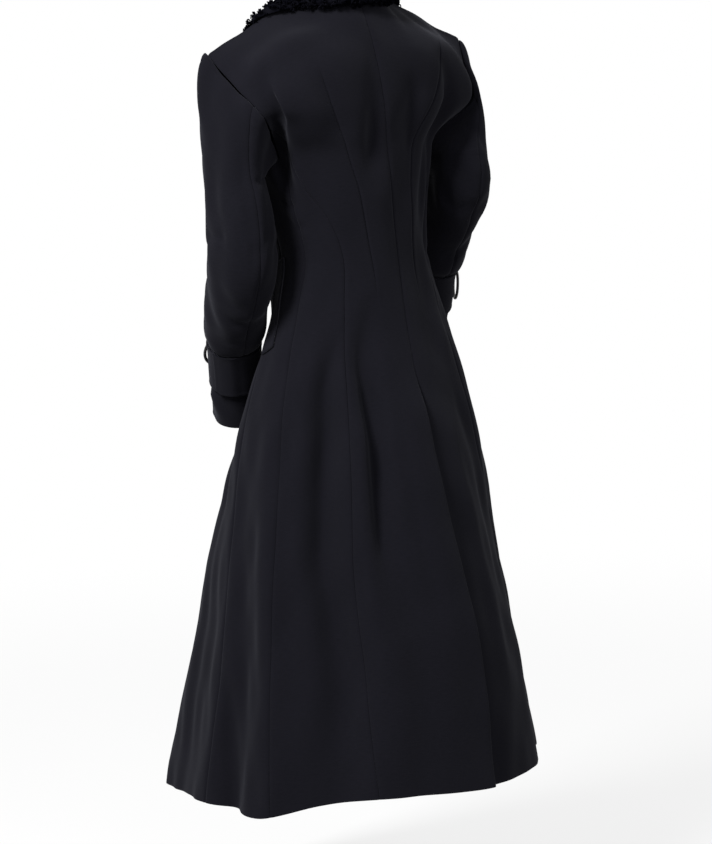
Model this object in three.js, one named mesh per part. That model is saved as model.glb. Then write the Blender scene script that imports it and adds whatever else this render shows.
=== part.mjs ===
// A long fitted and flared coat, as worn: strapped two-piece sleeves, a lapped back vent, slanted pocket
// welts and a turned-down fur collar. Millimetres, +Z up. The wearer faces -Y and the wearer's left is +X.
// The origin is the centre of the neck, at the height of the centre-back neck seam.
//
// The body is one map from (s, level) to a point. s runs round the body: 0 is the centre back, 1 the left
// side under the arm, 2 the centre front, and negative values are the right half. level is a height up to the
// chest, and above it the way on over the shoulder blades, or the bust, to the neck and the shoulder seam at
// level 0.
import * as THREE from 'three';

const CLOTH = 2.2; // thickness of the wool
const SEAM_GAP = 0.36; // between two pieces sewn edge to edge
const LIFT = 0.5; // between a piece and the one that it lies on
const HEM = -1222;
const HEM_FADE = -700; // above this height the hem line's rise and fall isn't felt
const CHEST = -235; // height of the armhole's lowest part
const EDGE = 0.86; // s where the armhole begins to climb, on the back; 2 - EDGE on the front
const EDGE_ANGLE = THREE.MathUtils.degToRad(EDGE * 90);
const NECK_SHARE = 0.25; // share of the way from the centre to the armhole that the neck takes
const NECK = { halfWidth: 76, sideY: 6, sideZ: 8, backY: 68, frontY: -82, frontZ: -70 };
const SHOULDER = { x: 234, y: 0, z: -65, arch: 3 };
const SHOULDER_TILT = 0.05; // the left shoulder hangs lower, as a slope
const FRONT_LAP = 42; // each front passes the centre by this much
const V_DEPTH = -178; // level where the fronts cross
const FRONT_LIFT = CLOTH + 2 * LIFT + 1.8; // of the right front over the left one
const LAP_FADE = { from: 2.4, width: 1.1, top: -60, deep: 80 }; // the lift ends, in laps and in level
const UNDERARM = { dip: 9, fade: 65 }; // the armhole's lowest part hangs below the chest

// Level sections of the body, hem to chest: half width, depth to the back and to the front, centre, turn.
const SECTIONS = [
  { z: HEM, side: 304, back: 302, front: 285, x: 5, y: -11, turn: 11 },
  { z: -1030, side: 270, back: 268, front: 246, x: 3, y: -6, turn: 12.5 },
  { z: -850, side: 236, back: 231, front: 206, x: 2, y: -4, turn: 11 },
  { z: -680, side: 208, back: 188, front: 158, x: -3, y: 1, turn: 8 },
  { z: -552, side: 181, back: 142, front: 128, x: -8, y: 5, turn: 8 },
  { z: -470, side: 153, back: 117, front: 114, x: -10, y: 7, turn: 9 },
  { z: -396, side: 133, back: 105, front: 106, x: -11, y: 8, turn: 10 },
  { z: -310, side: 144, back: 105, front: 122, x: -8, y: 5, turn: 9.5 },
  { z: CHEST, side: 162, back: 108, front: 130, x: -4, y: 2, turn: 9 },
];

// Rows over the shoulder blades and over the bust: half widths at the left and right armholes, depths and
// heights at the centre and at the armhole. The right arm reaches forward and spreads its side of the back.
const BACK_ROWS = [
  { left: 202, right: 226, midY: 114, edgeY: 63, midZ: -150, edgeZ: -170, turn: 8 },
  { left: 219, right: 232, midY: 99, edgeY: 36, midZ: -64, edgeZ: -120, turn: 4 },
];
const FRONT_ROWS = [
  { left: 188, right: 188, midY: -134, edgeY: -60, midZ: -165, edgeZ: -162, turn: 8 },
  { left: 208, right: 208, midY: -112, edgeY: -40, midZ: -95, edgeZ: -108, turn: 4 },
];

// Folds: troughs have a negative depth. Each runs from (s, level) down to (s, level); width is in s. One
// that runs out at the hem is deepest there.
const FOLDS = [
  { s0: 0.74, top: -40, s1: 0.84, end: -300, width: 0.075, depth: -13 },
  { s0: 0.62, top: -60, s1: 0.7, end: -330, width: 0.08, depth: 6 },
  { s0: 0.42, top: -70, s1: 0.3, end: -210, width: 0.07, depth: -5 },
  { s0: 0.02, top: -40, s1: 0.14, end: -300, width: 0.07, depth: -5 },
  { s0: -0.22, top: -90, s1: -0.12, end: -230, width: 0.07, depth: -5 },
  { s0: -0.52, top: -60, s1: -0.42, end: -400, width: 0.08, depth: -11 },
  { s0: 0.24, top: -450, s1: 0.27, end: -980, width: 0.07, depth: -10 },
  { s0: 0.5, top: -500, s1: 0.55, end: HEM, width: 0.11, depth: -17, hem: true },
  { s0: 0.88, top: -620, s1: 0.78, end: HEM, width: 0.07, depth: 15, hem: true },
  { s0: 1.0, top: -600, s1: 0.94, end: HEM, width: 0.07, depth: -16, hem: true },
  { s0: 0.36, top: -470, s1: 0.33, end: HEM, width: 0.06, depth: 6, hem: true },
  { s0: 1.2, top: -620, s1: 1.2, end: HEM, width: 0.1, depth: -11, hem: true },
  { s0: 1.42, top: -680, s1: 1.46, end: HEM, width: 0.1, depth: 10, hem: true },
  { s0: 1.66, top: -640, s1: 1.64, end: HEM, width: 0.08, depth: 8, hem: true },
  { s0: -0.5, top: -560, s1: -0.5, end: HEM, width: 0.1, depth: -14, hem: true },
  { s0: -0.8, top: -600, s1: -0.78, end: HEM, width: 0.1, depth: 12, hem: true },
  { s0: -1.08, top: -640, s1: -1.1, end: HEM, width: 0.1, depth: -14, hem: true },
  { s0: -1.42, top: -600, s1: -1.44, end: HEM, width: 0.1, depth: 13, hem: true },
  { s0: -1.66, top: -640, s1: -1.64, end: HEM, width: 0.08, depth: -8, hem: true },
];
// The hollows that the left forearm presses into the side and the front.
const PRESSED = [
  { s: 1.6, level: -610, width: 0.3, reach: 110, depth: -26 },
  { s: 1.34, level: -505, width: 0.24, reach: 70, depth: -13 },
];
// How far the hem rises at some places round it.
const HEM_LINE = [
  { s: -2, rise: -14 },
  { s: -1.5, rise: -8 },
  { s: -1, rise: 2 },
  { s: -0.5, rise: 12 },
  { s: 0, rise: 12 },
  { s: 0.35, rise: 18 },
  { s: 0.6, rise: 6 },
  { s: 0.8, rise: -12 },
  { s: 1.05, rise: -6 },
  { s: 1.4, rise: -12 },
  { s: 2, rise: -14 },
];

const PRINCESS_TOP = -190;
const SIDE_BACK_TOP = -194;
// Seams, as s at some levels; the centre-back one is at 0. The left half's vent edge lies on it.
const PRINCESS = [
  { level: HEM, s: 0.4 },
  { level: -1060, s: 0.45 },
  { level: -880, s: 0.47 },
  { level: -700, s: 0.43 },
  { level: -552, s: 0.42 },
  { level: -396, s: 0.47 },
  { level: -330, s: 0.55 },
  { level: -290, s: 0.66 },
  { level: CHEST, s: 0.76 },
  { level: PRINCESS_TOP, s: EDGE },
];
const SIDE_BACK = [
  { level: HEM, s: 0.75 },
  { level: -1060, s: 0.79 },
  { level: -880, s: 0.8 },
  { level: -700, s: 0.78 },
  { level: -396, s: 0.81 },
  { level: CHEST, s: EDGE },
];
const SIDE_FRONT = [
  { level: HEM, s: 1.045 },
  { level: -800, s: 1.1 },
  { level: -396, s: 1.14 },
  { level: CHEST, s: 2 - EDGE },
];
const VENT = { top: -560, lap: -640, start: 60, underlap: 46, spread: 0.34, lift: 4.8, hemLift: 9 };

// The sleeves along the arm, from below the armhole to the hem: the axis, and the half sizes of each ring
// across the body (wide) and front to back (deep).
const ARMS = {
  left: [
    { x: 202, y: 15, z: -278, wide: 41, deep: 60 },
    { x: 198, y: 18, z: -341, wide: 46, deep: 58 },
    { x: 197, y: 12, z: -400, wide: 47, deep: 56 },
    { x: 185, y: -28, z: -465, wide: 46, deep: 52 },
    { x: 171, y: -62, z: -508, wide: 47, deep: 50 },
    { x: 165, y: -74, z: -524, wide: 40, deep: 43 },
    { x: 147, y: -104, z: -592, wide: 38, deep: 42 },
    { x: 134, y: -126, z: -648, wide: 36, deep: 40 },
  ],
  right: [
    { x: -214, y: 14, z: -250, wide: 46, deep: 60 },
    { x: -214, y: 18, z: -284, wide: 47, deep: 58 },
    { x: -209, y: -22, z: -352, wide: 45, deep: 53 },
    { x: -210, y: -58, z: -405, wide: 46, deep: 50 },
    { x: -211, y: -68, z: -420, wide: 39, deep: 43 },
    { x: -223, y: -104, z: -486, wide: 38, deep: 42 },
    { x: -233, y: -134, z: -538, wide: 36, deep: 40 },
  ],
};
const CAP = {
  rise: 85,
  underRise: 10,
  fall: 130,
  rows: 5,
  slope: 0.3,
  underSlope: 0.85,
  underReach: 0.5,
  back: { left: 0, right: 0.4 },
};
const CUFF_RING = 3; // rings from the hem up to the one where the strap begins
const ARM_STEP = 36; // at most this far between two rings of a sleeve
// Seams of a sleeve, in degrees round it from its outer side towards the back; the back one by ring.
const BACK_SEAM = [
  { place: 0, left: 72, right: 84 },
  { place: 5, left: 84, right: 84 },
  { place: 12, left: 85, right: 85 },
  { place: 20, left: 82, right: 82 },
];
const INNER_SEAM = 250;
// lapAt, lapLong and step are degrees round the sleeve; slack clears the sleeve's flat facets.
const STRAP = { width: 76, thick: 2.6, lapAt: 14, lapLong: 34, step: 22, slack: 0.8, rows: 2, steps: 26 };
const STRAP_TURN = { left: 0, right: 104 }; // the right cuff is rolled outwards
// clear is from the smooth strap, which its flat facets leave by a little.
const RING = { at: -80, radius: 23, wire: 2.6, clear: { left: -0.3, right: 0.7 } };
const WELT = { sTop: 1.07, sEnd: 0.955, top: -392, end: -528, width: 34, thick: 2.4, slant: 14, slack: 1.6 };
const COLLAR = {
  pile: 15,
  thinner: 0.35, // share of the pile lost at the front's crossing
  stand: 26,
  inner: 9,
  hang: 6,
  backFall: 15,
  reach: { left: 0.62, right: 0.46 },
  ends: 0.92, // share of the way down to the crossing
  taper: 0.62,
  fall: 1.1,
  drop: 22,
  rootSlack: 3,
  slack: 4.4,
  centre: 0.02, // share round the neck of the outer edge at the centre back
  highest: -0.5, // no point lies above this level
  crown: 4, // the fur's highest line over its pile
  behind: 6, // the stand's top, outwards from the neck's line
  before: 4, // and inwards
  lip: 3, // the rounding of the stand's inner edge
  ease: { lie: 1.6, lift: 2, drop: 3 }, // how soon each change is done towards the front's crossing
  places: [1.84, 1.7, 1.5, 1.32, 1.16, 1.06, 1.0, 0.92, 0.8, 0.65, 0.5, 0.35, 0.18],
};
const BUTTON = { radius: 14, thick: 5, inset: 20 };
// clear is from the smooth cloth, which the flat facets leave by a little.
const BUTTONS = [
  { level: -240, clear: 0.4 },
  { level: -320, clear: 0.1 },
  { level: -400, clear: 1.9 },
  { level: -480, clear: 0.4 },
];

const WOOL = { color: 0x1f1e24, roughness: 0.85, metalness: 0 };
const FUR = { color: 0x0b0b10, roughness: 0.95, metalness: 0 };
const HORN = { color: 0x08080a, roughness: 0.3, metalness: 0 };

const lerp = THREE.MathUtils.lerp;
const clamp = THREE.MathUtils.clamp;
const rad = THREE.MathUtils.degToRad;
const smooth = (x) => THREE.MathUtils.smoothstep(x, 0, 1);
const group = new THREE.Group();

// A smooth curve through rows sorted by their key column, read at one place for the named column.
function read(rows, key, name, at) {
  const last = rows.length - 1;
  const place = clamp(at, rows[0][key], rows[last][key]);
  let i = 0;
  while (i < last - 1 && place > rows[i + 1][key]) i += 1;
  const [a, b] = [rows[i], rows[i + 1]];
  const step = b[key] - a[key];
  const slope = (p, q) => (q[name] - p[name]) / (q[key] - p[key]);
  const from = i > 0 ? slope(rows[i - 1], b) : slope(a, b);
  const to = i + 2 <= last ? slope(a, rows[i + 2]) : slope(a, b);
  const u = (place - a[key]) / step;
  return hermite(a[name], b[name], from * step, to * step, u);
}

function hermite(a, b, slopeA, slopeB, u) {
  const v = 1 - u;
  return a * v * v * (1 + 2 * u) + b * u * u * (3 - 2 * u) + slopeA * u * v * v - slopeB * u * u * v;
}

function turned(x, y, degrees) {
  const angle = rad(degrees);
  return [x * Math.cos(angle) - y * Math.sin(angle), x * Math.sin(angle) + y * Math.cos(angle)];
}

// A level section of the body.
function ringPoint(s, level) {
  const row = Object.fromEntries(
    ['side', 'back', 'front', 'x', 'y', 'turn'].map((name) => [name, read(SECTIONS, 'z', name, level)]),
  );
  const angle = rad(s * 90);
  const depth = Math.cos(angle) > 0 ? row.back : row.front;
  const [x, y] = turned(row.side * Math.sin(angle), depth * Math.cos(angle), row.turn);
  return new THREE.Vector3(row.x + x, row.y + y, level);
}

// The neck and the shoulder seam, where back and front meet. share is 0 at the centre and 1 at the armhole.
function topPoint(share, sign, front) {
  const across = Math.abs(share);
  const side = sign * (Math.sign(share) || 1);
  if (across < NECK_SHARE) {
    const angle = (Math.PI / 2) * (across / NECK_SHARE);
    const y = front ? NECK.frontY : NECK.backY;
    const z = front ? NECK.frontZ : 0;
    return new THREE.Vector3(
      side * NECK.halfWidth * Math.sin(angle),
      lerp(NECK.sideY, y, Math.cos(angle)),
      lerp(NECK.sideZ, z, Math.cos(angle)),
    );
  }
  const out = (across - NECK_SHARE) / (1 - NECK_SHARE);
  const arch = SHOULDER.arch * 4 * out * (1 - out);
  return new THREE.Vector3(
    side * lerp(NECK.halfWidth, SHOULDER.x, out),
    lerp(NECK.sideY, SHOULDER.y, out),
    lerp(NECK.sideZ, SHOULDER.z, out) + arch,
  );
}

// A row over the shoulder blades or the bust.
function crossPoint(row, share, sign) {
  const angle = share * EDGE_ANGLE;
  const bend = (Math.cos(angle) - Math.cos(EDGE_ANGLE)) / (1 - Math.cos(EDGE_ANGLE));
  const [x, y] = turned(
    (sign * (sign > 0 ? row.left : row.right) * Math.sin(angle)) / Math.sin(EDGE_ANGLE),
    lerp(row.edgeY, row.midY, bend),
    row.turn,
  );
  return new THREE.Vector3(x, y, lerp(row.edgeZ, row.midZ, bend));
}

function bodicePoint(s, level) {
  const front = Math.abs(s) > 1;
  const sign = s < 0 ? -1 : 1;
  const share = (front ? 2 - Math.abs(s) : Math.abs(s)) / EDGE;
  const rows = front ? FRONT_ROWS : BACK_ROWS;
  const start = ringPoint(s, CHEST);
  const below = ringPoint(s, CHEST - 20);
  const points = [
    start,
    crossPoint(rows[0], share, sign),
    crossPoint(rows[1], share, sign),
    topPoint(share, sign, front),
  ];
  const place = (1 - level / CHEST) * 3;
  const i = Math.min(2, Math.floor(place));
  const slope = (k) => {
    if (k === 0) return start.clone().sub(below).multiplyScalar(points[1].distanceTo(start) / 20);
    if (k === 3) return points[3].clone().sub(points[2]).multiplyScalar(0.9);
    return points[k + 1].clone().sub(points[k - 1]).multiplyScalar(0.5);
  };
  const [from, to] = [slope(i), slope(i + 1)];
  const at = (axis) => hermite(points[i][axis], points[i + 1][axis], from[axis], to[axis], place - i);
  return new THREE.Vector3(at('x'), at('y'), at('z'));
}

// How far apart two places round the body are; s and s + 4 are the same place.
const apart = (s, other) => s - other - 4 * Math.round((s - other) / 4);

function foldDepth(s, level) {
  let depth = 0;
  for (const fold of FOLDS) {
    const down = (fold.top - level) / (fold.top - fold.end);
    if (down <= 0 || (down >= 1 && !fold.hem)) continue;
    const across = apart(s, lerp(fold.s0, fold.s1, smooth(down))) / fold.width;
    const grown = fold.hem ? smooth(Math.min(1, down * 1.15)) : Math.sin(Math.PI * down) ** 0.8;
    depth += fold.depth * grown * Math.exp(-across * across);
  }
  for (const press of PRESSED) {
    const across = apart(s, press.s) / press.width;
    const along = (level - press.level) / press.reach;
    depth += press.depth * Math.exp(-across * across - along * along);
  }
  return depth;
}

// The hem line isn't level, and the skirt above it follows it less and less.
function hemRise(s, level) {
  const share = smooth((HEM_FADE - level) / (HEM_FADE - HEM));
  return share * read(HEM_LINE, 's', 'rise', apart(s, 0));
}

// The outer face of the cloth.
function bodyPoint(s, level) {
  const point = level < CHEST ? ringPoint(s, level) : bodicePoint(s, level);
  const depth = foldDepth(s, level);
  const turn = read(SECTIONS, 'z', 'turn', Math.min(level, CHEST));
  const [x, y] = turned(Math.sin(rad(s * 90)), Math.cos(rad(s * 90)), turn);
  point.x += x * depth;
  point.y += y * depth;
  point.z += hemRise(s, level) - SHOULDER_TILT * point.x * smooth((level + 420) / 250);
  return point;
}

function faceNormal(s, level) {
  const [ds, dl] = [0.02, 6];
  const across = bodyPoint(s + ds, level).sub(bodyPoint(s - ds, level));
  const up = bodyPoint(s, Math.min(level + dl, 0)).sub(bodyPoint(s, level - dl));
  return up.cross(across).normalize();
}

// Along the shoulder seam, back and front share one normal.
function bodyNormal(s, level) {
  const normal = faceNormal(s, level);
  const opposite = Math.sign(s) * (2 - Math.abs(s));
  const onShoulder = Math.min(Math.abs(s), Math.abs(opposite)) >= NECK_SHARE * EDGE - 1e-6;
  if (level < 0 || !onShoulder) return normal;
  return normal.add(faceNormal(opposite, 0)).normalize();
}

// One closed wall on a grid of outer points with their normals: rows of columns.
function wall(name, look, grid, thick) {
  const rows = grid.length;
  const columns = grid[0].length;
  const positions = [];
  const index = [];
  for (const inner of [0, thick]) {
    for (const row of grid) {
      for (const cell of row) positions.push(...cell.point.clone().addScaledVector(cell.normal, -inner));
    }
  }
  const id = (layer, i, j) => layer * rows * columns + i * columns + j;
  const quad = (a, b, c, d) => index.push(a, b, c, a, c, d);
  const across = columns - 1;
  for (let i = 0; i < rows - 1; i += 1) {
    for (let j = 0; j < across; j += 1) {
      quad(id(0, i, j), id(0, i + 1, j), id(0, i + 1, j + 1), id(0, i, j + 1));
      quad(id(1, i, j), id(1, i, j + 1), id(1, i + 1, j + 1), id(1, i + 1, j));
    }
    quad(id(0, i, 0), id(1, i, 0), id(1, i + 1, 0), id(0, i + 1, 0));
    quad(id(0, i, across), id(0, i + 1, across), id(1, i + 1, across), id(1, i, across));
  }
  for (let j = 0; j < across; j += 1) {
    quad(id(0, 0, j), id(0, 0, j + 1), id(1, 0, j + 1), id(1, 0, j));
    quad(id(0, rows - 1, j), id(1, rows - 1, j), id(1, rows - 1, j + 1), id(0, rows - 1, j + 1));
  }
  addMesh(name, look, positions, index);
}

// Adds a closed body, with its faces turned out whatever way they were listed.
function addMesh(name, look, positions, index) {
  const [a, b, c] = [new THREE.Vector3(), new THREE.Vector3(), new THREE.Vector3()];
  let volume = 0;
  for (let k = 0; k < index.length; k += 3) {
    a.fromArray(positions, index[k] * 3);
    b.fromArray(positions, index[k + 1] * 3);
    c.fromArray(positions, index[k + 2] * 3);
    volume += a.dot(b.cross(c));
  }
  const faces = volume < 0 ? [...index].reverse() : index;
  const geometry = new THREE.BufferGeometry();
  geometry.setAttribute('position', new THREE.Float32BufferAttribute(positions, 3));
  geometry.setIndex(faces);
  geometry.computeVertexNormals();
  add(name, look, geometry);
}

function add(name, look, geometry) {
  const mesh = new THREE.Mesh(geometry, new THREE.MeshStandardMaterial(look));
  mesh.name = name;
  group.add(mesh);
}

// Moves the cells along a seam back from it by half the seam's gap. inside is the next line in.
function backFrom(line, inside) {
  const moved = line.map(({ point, normal }, k) => {
    const along = line[Math.min(k + 1, line.length - 1)].point.clone().sub(line[Math.max(k - 1, 0)].point);
    const away = along.cross(normal).normalize();
    if (away.dot(inside[k].point.clone().sub(point)) < 0) away.negate();
    return point.clone().addScaledVector(away, SEAM_GAP / 2);
  });
  moved.forEach((point, k) => line[k].point.copy(point));
}

// The seams are at a grid's first and last columns and at its last row.
function backFromSeams(grid) {
  const column = (place) => grid.map((row) => row.at(place));
  backFrom(column(0), column(1));
  backFrom(column(-1), column(-2));
  backFrom(grid.at(-1), grid.at(-2));
}

const cellAt = (s, level, out = 0) => {
  const normal = bodyNormal(s, level);
  return { point: bodyPoint(s, level).addScaledVector(normal, out), normal };
};

// Levels of the rows shared by all the body panels.
const SKIRT_LEVELS = [
  HEM, -1130, -1030, -930, -840, -760, -690, -640, -600, -552, -505, -460, -425, -390, -350, -310, -270,
  CHEST,
];
const BACK_LEVELS = [...SKIRT_LEVELS, PRINCESS_TOP, -150, -105, -64, -30, 0];
const shares = (count) => Array.from({ length: count + 1 }, (_, k) => k / count);

function bodyPanel(name, levels, from, to, columns, options = {}) {
  const grid = levels.map((level) => columns.map((share) => {
    const s = lerp(from(level), to(level), share);
    const top = options.top ? options.top(s) : 0;
    const reached = level > CHEST && top < 0 ? lerp(CHEST, top, 1 - level / CHEST) : level;
    const out = options.out ? options.out(s, reached) : 0;
    return cellAt(s, options.dip ? reached - options.dip(s, level) : reached, out);
  }));
  backFromSeams(grid);
  wall(name, WOOL, grid, CLOTH);
}

const seam = (rows) => (level) => read(rows, 'level', 's', level);
const sideBack = seam(SIDE_BACK);
const sideFront = seam(SIDE_FRONT);
const princess = (level) => Math.min(EDGE, read(PRINCESS, 'level', 's', level));
const sideRadius = (level) => read(SECTIONS, 'z', 'side', Math.min(level, CHEST));
const turnFor = (length, level) => length / (sideRadius(level) * (Math.PI / 2));

// Below the vent's top the left back rises over the right one, which passes under it.
function ventLift(s, level) {
  const down = smooth((VENT.top - level) / (VENT.top - VENT.lap));
  const height = lerp(VENT.lift, VENT.hemLift, smooth((VENT.lap - level) / (VENT.lap - HEM)));
  return down * height * smooth(1 - s / VENT.spread);
}
function underlap(level) {
  return turnFor(VENT.underlap, level) * smooth((VENT.lap - level) / VENT.start);
}

function backs() {
  bodyPanel('back_left', BACK_LEVELS, () => 0, princess, shares(8), { out: ventLift });
  bodyPanel('back_right', BACK_LEVELS, underlap, (level) => -princess(level), shares(8));
}

function sides() {
  const dip = (s, level) => {
    const across = (Math.abs(s) - 1) / (1 - EDGE);
    const near = smooth(1 - (CHEST - level) / UNDERARM.fade);
    return near * UNDERARM.dip * Math.cos((across * Math.PI) / 2);
  };
  for (const [side, sign] of [['left', 1], ['right', -1]]) {
    const at = (curve) => (level) => sign * curve(level);
    const tall = [...SKIRT_LEVELS, -214, SIDE_BACK_TOP];
    const edge = (level) => (level > CHEST ? EDGE : sideBack(level));
    bodyPanel(`side_back_${side}`, tall, at(princess), at(edge), shares(3));
    bodyPanel(`side_${side}`, SKIRT_LEVELS, at(sideBack), at(sideFront), shares(3), { dip });
  }
}

// The right front laps over the left one.
function fronts() {
  const columns = [0, 0.16, 0.32, 0.48, 0.62, 0.74, 0.82, 0.9, 1];
  for (const [side, sign] of [['left', 1], ['right', -1]]) {
    const start = (level) => sign * (level > CHEST ? 2 - EDGE : sideFront(level));
    const end = (level) => sign * (2 + turnFor(FRONT_LAP, level));
    const top = (s) => {
      const share = (2 - Math.abs(s)) / EDGE;
      return share >= NECK_SHARE ? 0 : V_DEPTH * smooth((NECK_SHARE - share) / NECK_SHARE);
    };
    const out = (s, level) => {
      if (sign > 0) return 0;
      const laps = (Math.abs(s) - 2) / turnFor(FRONT_LAP, level);
      const near = smooth((laps + LAP_FADE.from) / LAP_FADE.width);
      return FRONT_LIFT * near * smooth((LAP_FADE.top - level) / LAP_FADE.deep);
    };
    bodyPanel(`front_${side}`, BACK_LEVELS, start, end, columns, { top, out });
  }
}

// The armhole, round from the shoulder tip down the back, under the arm and up the front.
function armhole(degrees, sign) {
  const angle = ((degrees % 360) + 360) % 360;
  const onFront = angle > 180;
  const down = (onFront ? 360 - angle : angle) / 135;
  if (down <= 1) {
    const s = onFront ? 2 - EDGE : EDGE;
    return bodyPoint(sign * s, CHEST * down);
  }
  const across = (angle - 180) / 45;
  const dip = UNDERARM.dip * Math.cos((across * Math.PI) / 2);
  return bodyPoint(sign * (1 + across * (1 - EDGE)), CHEST - dip);
}

// One ring of a sleeve at a distance along its axis: its centre, and the directions across and back.
function armFrame(rows, along) {
  const at = (name, where) => read(rows, 'along', name, where);
  const centre = (where) => new THREE.Vector3(at('x', where), at('y', where), at('z', where));
  const tangent = centre(along + 4).sub(centre(along - 4));
  if (tangent.lengthSq() === 0) tangent.set(0, 0, -1);
  tangent.normalize();
  const outward = new THREE.Vector3(Math.sign(rows[0].x), 0, 0);
  outward.addScaledVector(tangent, -outward.dot(tangent)).normalize();
  const back = tangent.clone().cross(outward).multiplyScalar(-Math.sign(rows[0].x));
  if (back.y < 0) back.negate();
  return { centre: centre(along), outward, back, tangent, wide: at('wide', along), deep: at('deep', along) };
}

function measured(rows) {
  let along = 0;
  return rows.map((row, k) => {
    if (k > 0) along += Math.hypot(row.x - rows[k - 1].x, row.y - rows[k - 1].y, row.z - rows[k - 1].z);
    return { ...row, along };
  });
}

function armPoint(rows, degrees, along, out = 0) {
  const ring = armFrame(rows, along);
  const angle = rad(degrees);
  return ring.centre
    .addScaledVector(ring.outward, (ring.wide + out) * Math.cos(angle))
    .addScaledVector(ring.back, (ring.deep + out) * Math.sin(angle));
}

// The sleeve's outer face. place counts the cap's rows from the armhole, and then the distance down the arm
// in steps.
function sleevePoint(rows, degrees, place) {
  if (place >= CAP.rows) return armPoint(rows, degrees, (place - CAP.rows) * ARM_STEP);
  const sign = Math.sign(rows[0].x);
  const start = armhole(degrees, sign);
  const under = (1 - Math.cos(rad(degrees))) / 2;
  const drop = lerp(CAP.slope, CAP.underSlope, under);
  const back = CAP.back[sign > 0 ? 'left' : 'right'] * Math.sin(rad(degrees));
  const away = new THREE.Vector3(sign * lerp(1, CAP.underReach, under), back, -drop);
  away.normalize();
  start.addScaledVector(away, 2 * LIFT);
  const end = armPoint(rows, degrees, 0);
  const down = armFrame(rows, 0).tangent;
  const gap = start.distanceTo(end);
  const from = away.multiplyScalar(Math.min(lerp(CAP.rise, CAP.underRise, under), gap));
  const to = down.multiplyScalar(Math.min(CAP.fall, gap));
  const at = (axis) => hermite(start[axis], end[axis], from[axis], to[axis], place / CAP.rows);
  return new THREE.Vector3(at('x'), at('y'), at('z'));
}

function sleeveCell(rows, degrees, place) {
  const [dw, dp] = [3, 0.12];
  const around = sleevePoint(rows, degrees + dw, place).sub(sleevePoint(rows, degrees - dw, place));
  const low = Math.max(0, place - dp);
  const down = sleevePoint(rows, degrees, place + dp).sub(sleevePoint(rows, degrees, low));
  const normal = around.cross(down).normalize().multiplyScalar(-Math.sign(rows[0].x));
  return { point: sleevePoint(rows, degrees, place), normal };
}

function sleeves() {
  for (const side of ['left', 'right']) {
    const rows = measured(ARMS[side]);
    const places = shares(CAP.rows).map((share) => share * CAP.rows);
    for (let k = 1; k < rows.length; k += 1) {
      const [above, below] = [rows[k - 1].along, rows[k].along];
      const parts = Math.ceil((below - above) / ARM_STEP);
      for (let part = 1; part <= parts; part += 1) {
        places.push(CAP.rows + lerp(above, below, part / parts) / ARM_STEP);
      }
    }
    const backSeam = (place) => read(BACK_SEAM, 'place', side, place);
    const piece = (name, from, to, count) => {
      const grid = places.map((place) => shares(count).map((share) => (
        sleeveCell(rows, lerp(from(place), to(place), share), place)
      )));
      backFromSeams(grid);
      wall(`${name}_${side}`, WOOL, grid, CLOTH);
    };
    piece('top_sleeve', () => INNER_SEAM - 360, backSeam, 11);
    piece('under_sleeve', backSeam, () => INNER_SEAM, 9);
    strap(side, rows);
  }
}

// The strap round the cuff, with its end lapped over its start, and the ring on it.
function strap(side, rows) {
  const turn = STRAP_TURN[side];
  const top = rows[rows.length - CUFF_RING].along + LIFT;
  const grid = [];
  for (let i = 0; i <= STRAP.rows; i += 1) {
    const along = top + (i / STRAP.rows) * STRAP.width;
    const row = [];
    for (let j = 0; j <= STRAP.steps; j += 1) {
      const round = (j / STRAP.steps) * (360 + STRAP.lapLong);
      const degrees = STRAP.lapAt + turn + round;
      const over = (STRAP.thick + LIFT) * smooth(1 - (round - STRAP.lapLong - 4) / STRAP.step);
      const point = armPoint(rows, degrees, along, LIFT + STRAP.slack + STRAP.thick + over);
      row.push({ point, normal: point.clone().sub(armFrame(rows, along).centre).normalize() });
    }
    grid.push(row);
  }
  wall(`sleeve_strap_${side}`, WOOL, grid, STRAP.thick);
  const frame = armFrame(rows, top + STRAP.width / 2);
  const angle = rad(RING.at + turn);
  const out = frame.outward.clone().multiplyScalar(Math.cos(angle));
  out.addScaledVector(frame.back, Math.sin(angle));
  const reach = Math.hypot(frame.wide * Math.cos(angle), frame.deep * Math.sin(angle));
  const seat = reach + LIFT + STRAP.slack + STRAP.thick + RING.clear[side] + RING.wire;
  const geometry = new THREE.TorusGeometry(RING.radius, RING.wire, 6, 16);
  const matrix = new THREE.Matrix4().makeBasis(
    frame.tangent,
    new THREE.Vector3().crossVectors(out, frame.tangent),
    out,
  ).setPosition(frame.centre.clone().addScaledVector(out, seat));
  add(`strap_ring_${side}`, HORN, geometry.applyMatrix4(matrix));
}

// Slanted pocket welts, laid on the side panels.
function welts() {
  for (const [side, sign] of [['left', 1], ['right', -1]]) {
    const grid = shares(6).map((down) => {
      const level = lerp(WELT.top, WELT.end, down);
      const s = lerp(WELT.sTop, WELT.sEnd, down);
      const wide = turnFor(WELT.width, level);
      return shares(2).map((share) => (
        cellAt(sign * (s + share * wide), level - WELT.slant * share, WELT.thick + WELT.slack)
      ));
    });
    wall(`pocket_welt_${side}`, WOOL, grid, WELT.thick);
  }
}

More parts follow.
